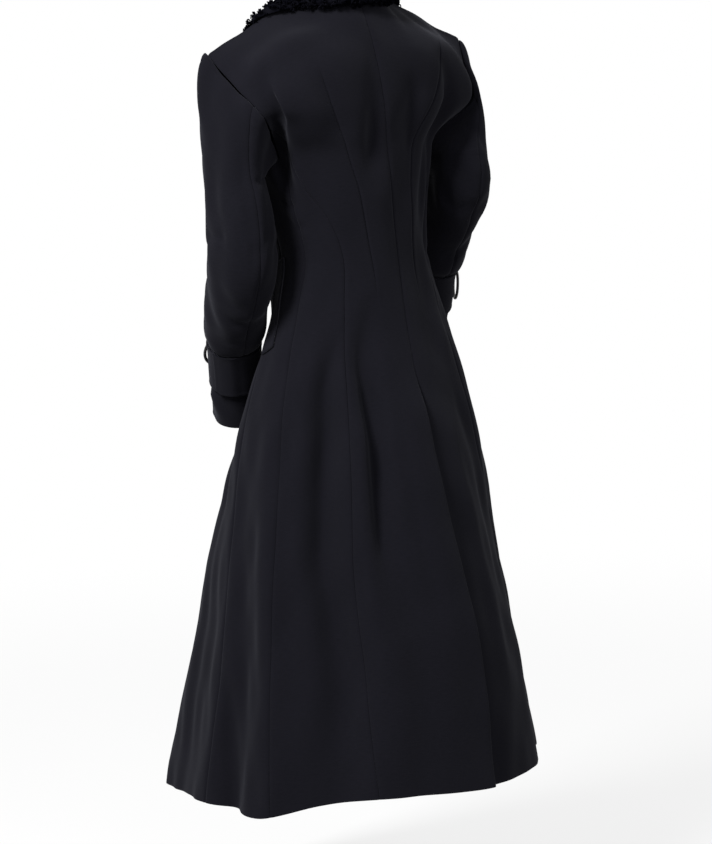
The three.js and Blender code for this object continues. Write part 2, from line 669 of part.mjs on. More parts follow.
// A section of the fur collar. place is 0 at the centre back, 1 at the shoulder seam and 2 at the front's
// crossing. The collar lies on the body out to its edge, and stands up along the neckline.
function collarStation(place, sign) {
  const front = place > 1;
  const f = front ? place - 1 : place;
  const neck = front
    ? { share: NECK_SHARE * (1 - f * COLLAR.ends), level: V_DEPTH * smooth(f * COLLAR.ends) }
    : { share: NECK_SHARE * f, level: 0 };
  const reach = COLLAR.reach[sign > 0 ? 'left' : 'right'];
  const outer = front
    ? {
      share: neck.share + (reach - NECK_SHARE) * (1 - COLLAR.taper * smooth(f)),
      level: Math.min(0, neck.level * COLLAR.fall - COLLAR.drop * smooth(f * COLLAR.ease.drop)),
    }
    : { share: lerp(COLLAR.centre, reach, f), level: -COLLAR.backFall * (1 - smooth(f) ** 2) };
  const at = (w, out) => {
    const across = lerp(neck.share, outer.share, w) * EDGE;
    const level = Math.min(COLLAR.highest, lerp(neck.level, outer.level, w));
    return cellAt(sign * (front ? 2 - across : across), level, out).point;
  };
  const flat = front ? smooth(f * COLLAR.ease.lie) : 0; // the stand lies down towards the front's crossing
  const over = LIFT + (front ? FRONT_LIFT * smooth(f * COLLAR.ease.lift) : 0);
  const pile = over + COLLAR.pile * (front ? 1 - COLLAR.thinner * f : 1);
  const stand = lerp(COLLAR.stand, pile, flat);
  const root = at(0, 0);
  const inward = new THREE.Vector3(-root.x, -root.y, 0).normalize();
  inward.lerp(root.clone().sub(at(0.3, 0)).normalize(), flat).normalize();
  const up = new THREE.Vector3(0, 0, 1).lerp(at(0, 1).sub(root), flat).normalize();
  const raised = (back, height) => root.clone().addScaledVector(inward, back).addScaledVector(up, height);
  return [
    at(0.08, over + COLLAR.rootSlack),
    at(0.5, over + COLLAR.slack),
    at(1, over + COLLAR.slack),
    at(1.04, over + COLLAR.pile * 0.5),
    at(0.9, pile),
    at(0.5, pile + COLLAR.crown),
    raised(-COLLAR.behind, stand),
    raised(COLLAR.before, stand + COLLAR.crown),
    raised(COLLAR.inner + COLLAR.lip, stand - COLLAR.lip),
    raised(COLLAR.inner, over + lerp(COLLAR.hang, COLLAR.rootSlack, flat)),
  ];
}

function furCollar() {
  const stations = [
    ...COLLAR.places.map((place) => collarStation(place, -1)),
    collarStation(0, 1),
    ...[...COLLAR.places].reverse().map((place) => collarStation(place, 1)),
  ];
  const around = stations[0].length;
  const last = (stations.length - 1) * around;
  const index = [];
  for (let first = 0; first < last; first += around) {
    for (let j = 0; j < around; j += 1) {
      const [a, b] = [first + j, first + ((j + 1) % around)];
      index.push(a, b, b + around, a, b + around, a + around);
    }
  }
  for (let j = 1; j < around - 1; j += 1) {
    index.push(0, j + 1, j);
    index.push(last, last + j, last + j + 1);
  }
  addMesh('fur_collar', FUR, stations.flat().flatMap((point) => point.toArray()), index);
}

// Plain buttons on the right front's edge.
function buttons() {
  BUTTONS.forEach(({ level, clear }, k) => {
    const s = -2 - turnFor(FRONT_LAP - BUTTON.inset, level);
    const { point, normal } = cellAt(s, level, FRONT_LIFT + clear + BUTTON.thick / 2);
    const geometry = new THREE.CylinderGeometry(BUTTON.radius, BUTTON.radius, BUTTON.thick, 16);
    geometry.applyQuaternion(new THREE.Quaternion().setFromUnitVectors(new THREE.Vector3(0, 1, 0), normal));
    geometry.translate(...point.toArray());
    add(`button_${k + 1}`, HORN, geometry);
  });
}

backs();
sides();
fronts();
sleeves();
welts();
furCollar();
buttons();

export default group;
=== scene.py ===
# A long fitted and flared coat, as worn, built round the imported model. Every piece of cloth is a thin
# shell on its solid's form, with the creases, seams and darts worked in. Tables are in millimetres. The
# left sleeve, the hip beside it and the vent's lap stand out a few millimetres more than their solids.
import math

import bpy
import numpy as np
from mathutils import Matrix, Vector


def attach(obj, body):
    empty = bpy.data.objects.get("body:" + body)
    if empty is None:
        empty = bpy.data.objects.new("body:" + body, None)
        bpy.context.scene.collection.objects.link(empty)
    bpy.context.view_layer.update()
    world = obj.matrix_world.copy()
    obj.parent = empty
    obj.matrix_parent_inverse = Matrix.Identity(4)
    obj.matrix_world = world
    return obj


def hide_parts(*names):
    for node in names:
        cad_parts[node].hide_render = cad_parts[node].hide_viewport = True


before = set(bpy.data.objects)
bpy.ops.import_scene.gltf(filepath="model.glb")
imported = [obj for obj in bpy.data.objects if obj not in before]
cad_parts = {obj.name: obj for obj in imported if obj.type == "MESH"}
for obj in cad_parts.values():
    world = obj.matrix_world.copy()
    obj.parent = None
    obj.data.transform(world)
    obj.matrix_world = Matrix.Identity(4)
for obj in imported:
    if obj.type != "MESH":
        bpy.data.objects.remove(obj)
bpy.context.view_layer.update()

MM = 0.001
RNG = np.random.default_rng(7)


def columns(names, *rows):
    return {name: np.array(values, float) for name, values in zip(names.split(), zip(*rows))}


# ---------------------------------------------------------------- sizes
CLOTH = 2.0
SEAM_GAP = 0.16
HEM, HEM_FADE, CHEST = -1222.0, -700.0, -235.0
EDGE = 0.86
EDGE_ANGLE = math.radians(EDGE * 90)
NECK_SHARE = 0.25
NECK = dict(halfWidth=76, sideY=6, sideZ=8, backY=68, frontY=-82, frontZ=-70)
SHOULDER = dict(x=234, y=0, z=-65, arch=3)
SHOULDER_TILT = 0.05
FRONT_LAP = 42.0
V_DEPTH = -178.0
FRONT_LIFT = 5.0
LAP_FADE = dict(start=2.4, width=1.1, top=-60.0, deep=80.0)
UNDERARM = dict(dip=9.0, fade=65.0)
PRINCESS_TOP, SIDE_BACK_TOP = -190.0, -194.0
VENT = dict(top=-560.0, lap=-640.0, start=60.0, underlap=46.0, spread=0.34, lift=7.0, hemLift=14.0)

SECTIONS = columns(
    "z side back front x y turn",
    (HEM, 304, 302, 285, 5, -11, 11),
    (-1030, 270, 268, 246, 3, -6, 12.5),
    (-850, 236, 231, 206, 2, -4, 11),
    (-680, 208, 188, 158, -3, 1, 8),
    (-552, 181, 142, 128, -8, 5, 8),
    (-470, 153, 117, 114, -10, 7, 9),
    (-396, 133, 105, 106, -11, 8, 10),
    (-310, 144, 105, 122, -8, 5, 9.5),
    (CHEST, 162, 108, 130, -4, 2, 9),
)
# Rows over the shoulder blades and the bust, low and high.
BACK_ROWS = columns(
    "left right midY edgeY midZ edgeZ turn",
    (202, 226, 114, 63, -150, -170, 8),
    (219, 232, 99, 36, -64, -120, 4),
)
FRONT_ROWS = columns(
    "left right midY edgeY midZ edgeZ turn",
    (188, 188, -134, -60, -165, -162, 8),
    (208, 208, -112, -40, -95, -108, 4),
)
# The solids' own folds; hem = 1 where one runs out at the hem.
FOLDS = [
    dict(zip("s0 top s1 end width depth hem".split(), row))
    for row in (
        (0.74, -40, 0.84, -300, 0.075, -13, 0),
        (0.62, -60, 0.7, -330, 0.08, 6, 0),
        (0.42, -70, 0.3, -210, 0.07, -5, 0),
        (0.02, -40, 0.14, -300, 0.07, -5, 0),
        (-0.22, -90, -0.12, -230, 0.07, -5, 0),
        (-0.52, -60, -0.42, -400, 0.08, -11, 0),
        (0.24, -450, 0.27, -980, 0.07, -10, 0),
        (0.5, -500, 0.55, HEM, 0.11, -17, 1),
        (0.88, -620, 0.78, HEM, 0.07, 15, 1),
        (1.0, -600, 0.94, HEM, 0.07, -16, 1),
        (0.36, -470, 0.33, HEM, 0.06, 6, 1),
        (1.2, -620, 1.2, HEM, 0.1, -11, 1),
        (1.42, -680, 1.46, HEM, 0.1, 10, 1),
        (1.66, -640, 1.64, HEM, 0.08, 8, 1),
        (-0.5, -560, -0.5, HEM, 0.1, -14, 1),
        (-0.8, -600, -0.78, HEM, 0.1, 12, 1),
        (-1.08, -640, -1.1, HEM, 0.1, -14, 1),
        (-1.42, -600, -1.44, HEM, 0.1, 13, 1),
        (-1.66, -640, -1.64, HEM, 0.08, -8, 1),
    )
]
PRESSED = [
    dict(zip("s level width reach depth".split(), row))
    for row in ((1.6, -610, 0.3, 110, -26), (1.34, -505, 0.24, 70, -13), (1.38, -420, 0.13, 60, 9))
]
HEM_LINE = columns(
    "s rise",
    (-2, -14), (-1.5, -8), (-1, 2), (-0.5, 12), (0, 12), (0.35, 18), (0.6, 6), (0.8, -12), (1.05, -6),
    (1.4, -12),
    (2, -14),
)
PRINCESS = columns(
    "level s",
    (HEM, 0.4), (-1060, 0.45), (-880, 0.47), (-700, 0.43), (-552, 0.42), (-396, 0.47), (-330, 0.55),
    (-290, 0.66),
    (CHEST, 0.76), (PRINCESS_TOP, EDGE),
)
SIDE_BACK = columns(
    "level s", (HEM, 0.75), (-1060, 0.79), (-880, 0.8), (-700, 0.78), (-396, 0.81), (CHEST, EDGE),
)
SIDE_FRONT = columns("level s", (HEM, 1.045), (-800, 1.1), (-396, 1.14), (CHEST, 2 - EDGE))

ARMS = {
    "left": columns(
        "x y z wide deep",
        (202, 15, -278, 41, 60), (196, 21, -341, 48, 61), (194, 16, -400, 50, 61), (184, -27, -465, 47, 54),
        (171, -62, -508, 47, 50), (165, -74, -524, 40, 43), (147, -104, -592, 38, 42),
        (134, -126, -648, 36, 40),
    ),
    "right": columns(
        "x y z wide deep",
        (-214, 14, -250, 46, 60), (-214, 18, -284, 47, 58), (-209, -22, -352, 45, 53),
        (-210, -58, -405, 46, 50), (-211, -68, -420, 39, 43), (-223, -104, -486, 38, 42), (-233, -134, -538, 36, 40),
    ),
}
CAP = dict(
    rise=85, underRise=10, fall=130, rows=5, slope=0.3, underSlope=0.85, underReach=0.5, left=0.0, right=0.4,
)
CUFF_RING = 3
ARM_STEP = 36.0
# A cap row in mm, a sleeve's mean radius, the roll at the shoulder's tip, what a strap keeps smooth.
CAP_ROW = 26.0
SLEEVE_RADIUS = 50.0
CAP_ROLL = dict(depth=1.4, share=2.6)
STRAP_COVER = dict(reach=14, fade=12)
BACK_SEAM = columns("place left right", (0, 72, 84), (5, 84, 84), (12, 85, 85), (20, 82, 82))
INNER_SEAM = 250.0
STRAP = dict(width=76.0, thick=2.6, lapAt=14.0, lapLong=34.0, step=22.0, lift=1.3)
STRAP_TURN = {"left": 0.0, "right": 104.0}
RING = dict(at=-80.0, radius=23.0, wire=2.6, left=0.7, right=0.7)
WELT = dict(sTop=1.07, sEnd=0.955, top=-392.0, end=-528.0, width=34.0, thick=2.4, slant=14.0, slack=1.6)
COLLAR = dict(
    pile=15.0, thinner=0.35, stand=26.0, inner=9.0, hang=6.0, backFall=15.0, left=0.62, right=0.46, ends=0.92,
    taper=0.62, fall=1.1, drop=22.0, rootSlack=3.0, slack=4.4,
)
BUTTON = dict(radius=14.0, thick=5.0, inset=20.0)
BUTTONS = ((-240, 0.4), (-320, 0.1), (-400, 1.9), (-480, 0.4))


# ---------------------------------------------------------------- reading tables and small sums
def read(table, key, name, at):
    x, y = table[key], table[name]
    slopes = np.empty(len(x))
    slopes[1:-1] = (y[2:] - y[:-2]) / (x[2:] - x[:-2])
    slopes[0] = (y[1] - y[0]) / (x[1] - x[0])
    slopes[-1] = (y[-1] - y[-2]) / (x[-1] - x[-2])
    at = np.clip(at, x[0], x[-1])
    i = np.clip(np.searchsorted(x, at, side="left") - 1, 0, len(x) - 2)
    step = x[i + 1] - x[i]
    return hermite(y[i], y[i + 1], slopes[i] * step, slopes[i + 1] * step, (at - x[i]) / step)


def hermite(a, b, slope_a, slope_b, u):
    v = 1 - u
    return a * v * v * (1 + 2 * u) + b * u * u * (3 - 2 * u) + slope_a * u * v * v - slope_b * u * u * v


def smooth(x):
    x = np.clip(x, 0, 1)
    return x * x * (3 - 2 * x)


def lerp(a, b, u):
    return a + (b - a) * u


def turned(x, y, degrees):
    angle = np.radians(degrees)
    return x * np.cos(angle) - y * np.sin(angle), x * np.sin(angle) + y * np.cos(angle)


def unit(v):
    return v / np.maximum(np.linalg.norm(v, axis=-1, keepdims=True), 1e-12)


def dot(a, b):
    return (a * b).sum(axis=-1, keepdims=True)


# ---------------------------------------------------------------- the body map
def ring_point(s, level):
    names = ("side", "back", "front", "x", "y", "turn")
    side, back, front, x0, y0, turn = (read(SECTIONS, "z", name, level) for name in names)
    angle = np.radians(s * 90)
    depth = np.where(np.cos(angle) > 0, back, front)
    x, y = turned(side * np.sin(angle), depth * np.cos(angle), turn)
    return np.stack([x0 + x, y0 + y, level + 0 * x], axis=-1)


def top_point(share, sign, front):
    across = np.abs(share)
    side = sign * np.where(share < 0, -1, 1)
    angle = (math.pi / 2) * np.minimum(across / NECK_SHARE, 1)
    y = np.where(front, NECK["frontY"], NECK["backY"])
    z = np.where(front, NECK["frontZ"], 0)
    neck = np.stack(
        [
            side * NECK["halfWidth"] * np.sin(angle),
            lerp(NECK["sideY"], y, np.cos(angle)),
            lerp(NECK["sideZ"], z, np.cos(angle)),
        ],
        axis=-1,
    )
    out = np.maximum((across - NECK_SHARE) / (1 - NECK_SHARE), 0)
    arch = SHOULDER["arch"] * 4 * out * (1 - out)
    shoulder = np.stack(
        [
            side * lerp(NECK["halfWidth"], SHOULDER["x"], out),
            lerp(NECK["sideY"], SHOULDER["y"], out),
            lerp(NECK["sideZ"], SHOULDER["z"], out) + arch,
        ],
        axis=-1,
    )
    return np.where((across < NECK_SHARE)[..., None], neck, shoulder)


def cross_point(row, share, sign, front):
    def get(name):
        return np.where(front, FRONT_ROWS[name][row], BACK_ROWS[name][row])

    angle = share * EDGE_ANGLE
    bend = (np.cos(angle) - math.cos(EDGE_ANGLE)) / (1 - math.cos(EDGE_ANGLE))
    width = np.where(sign > 0, get("left"), get("right"))
    across = sign * width * np.sin(angle) / math.sin(EDGE_ANGLE)
    x, y = turned(across, lerp(get("edgeY"), get("midY"), bend), get("turn"))
    return np.stack([x, y, lerp(get("edgeZ"), get("midZ"), bend)], axis=-1)


def bodice_point(s, level):
    front = np.abs(s) > 1
    sign = np.where(s < 0, -1, 1)
    share = np.where(front, 2 - np.abs(s), np.abs(s)) / EDGE
    start = ring_point(s, CHEST + 0 * level)
    below = ring_point(s, CHEST - 20 + 0 * level)
    p1, p2 = (cross_point(k, share, sign, front) for k in (0, 1))
    p3 = top_point(share, sign, front)
    m0 = (start - below) * np.linalg.norm(p1 - start, axis=-1, keepdims=True) / 20
    m1, m2, m3 = (p2 - start) * 0.5, (p3 - p1) * 0.5, (p3 - p2) * 0.9
    place = ((1 - level / CHEST) * 3)[..., None]
    low = hermite(start, p1, m0, m1, np.clip(place, -1, 1))
    mid = hermite(p1, p2, m1, m2, place - 1)
    high = hermite(p2, p3, m2, m3, place - 2)
    return np.where(place < 1, low, np.where(place < 2, mid, high))


def apart(s, other):
    return s - other - 4 * np.round((s - other) / 4)


def fold_depth(s, level):
    depth = 0 * s
    for fold in FOLDS:
        down = (fold["top"] - level) / (fold["top"] - fold["end"])
        across = apart(s, lerp(fold["s0"], fold["s1"], smooth(down))) / fold["width"]
        if fold["hem"]:
            grown = smooth(np.clip(down * 1.15, 0, 1))
        else:
            grown = np.where((down > 0) & (down < 1), np.sin(math.pi * np.clip(down, 0, 1)) ** 0.8, 0)
        depth = depth + fold["depth"] * grown * np.exp(-across * across)
    for press in PRESSED:
        across = apart(s, press["s"]) / press["width"]
        along = (level - press["level"]) / press["reach"]
        depth = depth + press["depth"] * np.exp(-across * across - along * along)
    return depth


def body_point(s, level):
    s, level = np.broadcast_arrays(np.asarray(s, float), np.asarray(level, float))
    bodice = bodice_point(s, np.maximum(level, CHEST))
    point = np.where((level < CHEST)[..., None], ring_point(s, level), bodice)
    depth = fold_depth(s, level)
    turn = read(SECTIONS, "z", "turn", np.minimum(level, CHEST))
    x, y = turned(np.sin(np.radians(s * 90)), np.cos(np.radians(s * 90)), turn)
    point[..., 0] += x * depth
    point[..., 1] += y * depth
    share = smooth((HEM_FADE - level) / (HEM_FADE - HEM))
    rise = share * read(HEM_LINE, "s", "rise", apart(s, 0))
    point[..., 2] += rise - SHOULDER_TILT * point[..., 0] * smooth((level + 420) / 250)
    return point


def face_normal(s, level):
    ds, dl = 0.01, 3.0
    across = body_point(s + ds, level) - body_point(s - ds, level)
    up = body_point(s, np.minimum(level + dl, 0)) - body_point(s, level - dl)
    return unit(np.cross(up, across))


def body_normal(s, level):
    s, level = np.broadcast_arrays(np.asarray(s, float), np.asarray(level, float))
    normal = face_normal(s, level)
    opposite = np.sign(s) * (2 - np.abs(s))
    on_shoulder = np.minimum(np.abs(s), np.abs(opposite)) >= NECK_SHARE * EDGE - 1e-6
    # The two faces turn smoothly into one over the last centimetres before the shoulder seam.
    near = (smooth(1 + level / 14) * on_shoulder * 0.5)[..., None]
    return unit(normal * (1 - near) + face_normal(opposite, 0 * level) * near)


def side_radius(level):
    return read(SECTIONS, "z", "side", np.minimum(level, CHEST))


def turn_for(length, level):
    return length / (side_radius(level) * math.pi / 2)


# ---------------------------------------------------------------- creases, seams and the cloth's unevenness
# Folds that run down the body: half width and depth in mm, then (s, level) places; troughs are negative.
FOLD_LINES = (
    # the left shoulder's long fold, a narrow trough in a broad one
    (11, -9.0, (0.52, -40), (0.62, -85), (0.71, -130), (0.79, -175), (0.84, -215), (0.88, -262),
     (0.91, -300)),
    (30, -5.0, (0.42, -36), (0.52, -85), (0.62, -130), (0.70, -175), (0.76, -215), (0.81, -262),
     (0.85, -316)),
    # over the back
    (13, -2.6, (0.34, -100), (0.33, -169), (0.30, -235)),
    (14, -3.2, (0.05, -48), (0.01, -106), (0.02, -150), (0.11, -217), (0.19, -290)),
    (11, -3.0, (-0.17, -115), (-0.19, -193), (-0.21, -262)),
    (14, -11.0, (-0.36, -66), (-0.50, -180), (-0.58, -250), (-0.58, -330), (-0.50, -410), (-0.46, -462)),
    # down the skirt's back
    (19, -14.0, (0.27, -440), (0.31, -553), (0.30, -604), (0.29, -688), (0.32, -817), (0.33, -960)),
    (24, -24.0, (0.52, -470), (0.545, -643), (0.58, -769), (0.60, -853), (0.57, -940), (0.54, -1060),
     (0.52, -1200)),
    (24, 11.0, (0.82, -550), (0.83, -769), (0.84, -1000)),
    (14, 5.0, (0.35, -490), (0.355, -670), (0.385, -769), (0.40, -946), (0.365, -1170)),
    (14, -8.0, (1.04, -1000), (0.98, -1129), (0.93, -1222)),
    (16, -4.5, (0.13, -540), (0.16, -760), (0.15, -1030)),
    (20, -6.5, (-0.27, -500), (-0.34, -720), (-0.33, -1040)),
    (18, 5.0, (-0.15, -640), (-0.18, -860), (-0.17, -1170)),
    # the hidden sides and the fronts
    (18, -8.0, (-0.86, -580), (-0.84, -880), (-0.90, -1222)),
    (18, 6.5, (-1.20, -540), (-1.25, -800), (-1.21, -1180)),
    (17, -7.0, (1.31, -620), (1.34, -860), (1.29, -1222)),
    (18, -6.5, (1.60, -530), (1.65, -760), (1.61, -1130)),
    (19, -7.0, (-1.56, -550), (-1.63, -800), (-1.58, -1150)),
    (10, -5.0, (1.52, -78), (1.42, -160), (1.29, -246)),
    (11, -5.5, (-1.50, -70), (-1.40, -150), (-1.27, -246)),
    (9, -3.2, (1.72, -244), (1.62, -320), (1.52, -404)),
    (10, -3.6, (-1.66, -256), (-1.58, -334), (-1.46, -402)),
)
# Wrinkles across the body, in the same columns.
CREASES = (
    (6, -3.6, (0.95, -296), (0.88, -312), (0.79, -306)),
    (7, -2.2, (0.93, -330), (0.85, -346), (0.74, -344)),
    (7, -2.4, (-0.84, -366), (-0.72, -392), (-0.55, -399)),
    (13, -3.5, (0.44, -500), (0.51, -560), (0.60, -640)),
)
# The same on the sleeves, as (degrees round, mm down from the cap).
ARM_CREASES = {
    "left": (
        (12, -3.5, (70, -60), (66, 20), (74, 110)),
        (8, -2.6, (150, -20), (116, 4), (88, 2)),
        (9, -3.2, (200, 60), (160, 92), (120, 98)),
        (8, -2.4, (30, 176), (58, 196), (96, 192)),
        (7, -2.6, (14, 226), (52, 236), (92, 228)),
        (9, -3.0, (300, 70), (276, 96), (246, 100)),
        (8, -2.6, (330, 190), (300, 214), (262, 212)),
    ),
    "right": (
        (8, -4.0, (150, 18), (124, 24), (94, 33)),
        (8, -3.6, (104, -104), (84, -60), (62, -14)),
        (7, -3.0, (160, 52), (128, 62), (104, 60)),
        (9, -3.4, (210, 80), (176, 100), (138, 104)),
        (7, -2.4, (60, 120), (84, 136), (116, 132)),
        (9, -3.0, (300, 40), (270, 66), (236, 72)),
        (8, -2.6, (330, 130), (296, 150), (262, 146)),
    ),
}
# Stitched darts of the back, as s at some levels. DART_FADE is the length over which each end dies away.
DARTS = {
    "back_left": dict(
        line=columns(
            "level s",
            (-500, 0.18), (-430, 0.22), (-382, 0.25), (-292, 0.27), (-238, 0.3), (-169, 0.32), (-100, 0.33),
        ),
        top=-96.0, end=-478.0,
    ),
    "back_right": dict(
        line=columns("level s", (-500, -0.17), (-400, -0.19), (-235, -0.24), (-120, -0.36), (-40, -0.47)),
        top=-60.0, end=-470.0,
    ),
}
DART_FADE = dict(top=30, end=75)
WAVES = [
    (np.array([x, y, z * 0.4]) * 2 * math.pi / length, phase, length * 0.006)
    for x, y, z, length, phase in zip(
        *RNG.normal(size=(3, 14)), np.geomspace(48, 190, 14), RNG.uniform(0, 2 * math.pi, 14)
    )
]


def lumps(point):
    return sum(height * np.sin(point @ wave + phase) for wave, phase, height in WAVES)


def crease_depth(creases, u, v, reach):
    """The depth at u, v of polylines given in the same flat mm. reach(u, v, pu, pv) gives offsets."""
    total = 0 * u
    for width, depth, *points in creases:
        points = np.array(points, float)
        best = np.full(u.shape, 1e9)
        where = 0 * u
        count = len(points) - 1
        for k in range(count):
            (au, av), (bu, bv) = points[k], points[k + 1]
            ax, ay = reach(u, v, au, av)
            bx, by = reach(u, v, bu, bv)
            dx, dy = ax - bx, ay - by
            t = np.clip((ax * dx + ay * dy) / np.maximum(dx * dx + dy * dy, 1e-9), 0, 1)
            gap = np.hypot(ax - t * dx, ay - t * dy)
            nearer = gap < best
            best = np.where(nearer, gap, best)
            where = np.where(nearer, (k + t) / count, where)
        shape = np.sin(math.pi * np.clip(0.04 + 0.92 * where, 0, 1)) ** 0.7
        uneven = 1 + 0.18 * np.sin(9 * where + points[0, 0] * 7)
        total = total + depth * shape * uneven * np.exp(-((best / (width * (0.8 + 0.3 * where))) ** 2))
    return total


def body_reach(s, level, s0, level0):
    # Offsets from the vertex to a crease's point, with s turned into millimetres at the vertex.
    return apart(s, s0) * side_radius(level) * math.pi / 2, level - level0


def fold_lines(s, level):
    """The depth of the folds that run down the body; one that ends at the hem keeps its depth there."""
    total = 0 * s
    for width, depth, *places in FOLD_LINES:
        rows = np.array(places[::-1], float)
        table = {"s": rows[:, 0], "level": rows[:, 1]}
        end, top = rows[0, 1], rows[-1, 1]
        scale = side_radius(level) * math.pi / 2
        at = read(table, "level", "s", level)
        slope = (read(table, "level", "s", level + 3) - read(table, "level", "s", level - 3)) * scale / 6
        gap = apart(s, at) * scale / np.hypot(1, slope)
        down = (top - level) / (top - end)
        shown = smooth(down / 0.28) * (1 if end < HEM + 5 else smooth((1 - down) / 0.34))
        uneven = 1 + 0.16 * np.sin(7 * down + rows[0, 0] * 11)
        total = total + depth * shown * uneven * np.exp(-((gap / (width * (0.85 + 0.3 * down))) ** 2))
    return total


def body_detail(s, level, point):
    return fold_lines(s, level) + crease_depth(CREASES, s, level, body_reach) + lumps(point)


def seam_groove(distance):
    edge = 1 - np.clip(distance / 0.9, 0, 1)
    rounded = 0.9 * (1 - np.sqrt(1 - edge * edge))
    return -rounded - 0.9 * np.exp(-((distance / 2.4) ** 2)) + 0.35 * np.exp(-(((distance - 7) / 3.6) ** 2))


def dart_groove(distance):
    return -1.5 * np.exp(-((distance / 1.5) ** 2)) + 0.3 * np.exp(-(((distance - 5) / 3) ** 2))


def hem_edge(distance):
    edge = 1 - np.clip(distance / 0.9, 0, 1)
    return -0.9 * (1 - np.sqrt(1 - edge * edge)) - 0.25 * np.exp(-(((distance - 44) / 2.5) ** 2))


# ---------------------------------------------------------------- meshes
FINE = np.array([0, 0.3, 0.8, 1.6, 3.0, 5.5])


def build(name, points, faces, material, slot, uvs=None):
    """A piece from points in mm and faces; its faces are turned out if it is closed."""
    points = np.asarray(points, float)
    faces = np.asarray(faces)
    corners = points[faces]
    volume = np.einsum("ij,ij->", corners[:, 0], np.cross(corners[:, 1], corners[:, 2]))
    if faces.shape[1] == 4:
        volume += np.einsum("ij,ij->", corners[:, 0], np.cross(corners[:, 2], corners[:, 3]))
    if volume < 0:
        faces = faces[:, ::-1]
    mesh = bpy.data.meshes.new(name)
    mesh.from_pydata((points * MM).tolist(), [], faces.tolist())
    mesh.polygons.foreach_set("use_smooth", np.ones(len(faces), bool))
    if uvs is not None:
        layer = mesh.uv_layers.new(name="cloth")
        layer.data.foreach_set("uv", (np.asarray(uvs)[faces.ravel()] * MM).ravel())
    mesh.materials.append(material)
    mesh.update()
    piece = bpy.data.objects.new(f"{name}_soft" if slot in ("wool", "fur") else f"{name}_fine", mesh)
    bpy.context.scene.collection.objects.link(piece)
    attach(piece, "root")
    return piece


def grid_faces(rows, cols, first=0, flip=False):
    i, j = np.meshgrid(np.arange(rows - 1), np.arange(cols - 1), indexing="ij")
    a = (first + i * cols + j).ravel()
    quads = np.stack([a, a + cols, a + cols + 1, a + 1], axis=1)
    return quads[:, ::-1] if flip else quads


def shell(name, outer, normal, thick, material):
    """A closed thin wall of wool on a grid of outer points."""
    rows, cols = outer.shape[:2]
    inner = outer - normal * thick
    n = rows * cols
    ids = np.arange(n).reshape(rows, cols)
    rim = np.concatenate([ids[0, :-1], ids[:-1, -1], ids[-1, :0:-1], ids[:0:-1, 0]])
    after = np.roll(rim, -1)
    edge = np.stack([rim, after, after + n, rim + n], axis=1)[:, ::-1]
    faces = np.concatenate([grid_faces(rows, cols), grid_faces(rows, cols, n, True), edge])
    points = np.concatenate([outer.reshape(-1, 3), inner.reshape(-1, 3)])
    down = np.linalg.norm(np.diff(outer[:, cols // 2], axis=0), axis=-1)
    along = np.concatenate([[0], np.cumsum(down)])
    steps = np.linalg.norm(np.diff(outer, axis=1), axis=-1)
    across = np.concatenate([np.zeros((rows, 1)), np.cumsum(steps, axis=1)], axis=1)
    across = across - across[:, [cols // 2]]
    uv = np.stack([across, np.broadcast_to(along[:, None], across.shape)], axis=-1)
    uvs = np.concatenate([uv.reshape(-1, 2)] * 2)
    return build(name, points, faces, material, "wool", uvs)


def fine_rows(low, high, step):
    start, stop = low + FINE[-1], high - FINE[-1]
    middle = np.linspace(start, stop, max(2, int(round((stop - start) / step)) + 1))
    return np.concatenate([low + FINE[:-1], middle, high - FINE[-2::-1]])


def spread(width, count):
    """Shares across a stretch of the given width per row, close together near both of its ends."""
    width = np.asarray(width, float)[:, None]
    scale = np.minimum(1, width / 26)
    near = FINE[None, :] * scale / np.maximum(width, 1e-6)
    middle = np.linspace(0, 1, count + 1)[None, 1:-1]
    inner = near[:, [-1]] + (1 - 2 * near[:, [-1]]) * middle
    return np.concatenate([near, inner, 1 - near[:, ::-1]], axis=1)


def seam(table):
    return lambda level: read(table, "level", "s", level)


side_back, side_front = seam(SIDE_BACK), seam(SIDE_FRONT)


def princess(level):
    return np.minimum(EDGE, read(PRINCESS, "level", "s", level))


def vent_lift(s, level):
    down = smooth((VENT["top"] - level) / (VENT["top"] - VENT["lap"]))
    height = lerp(VENT["lift"], VENT["hemLift"], smooth((VENT["lap"] - level) / (VENT["lap"] - HEM)))
    return down * height * smooth(1 - s / VENT["spread"])


def underlap(level):
    return turn_for(VENT["underlap"], level) * smooth((VENT["lap"] - level) / VENT["start"])


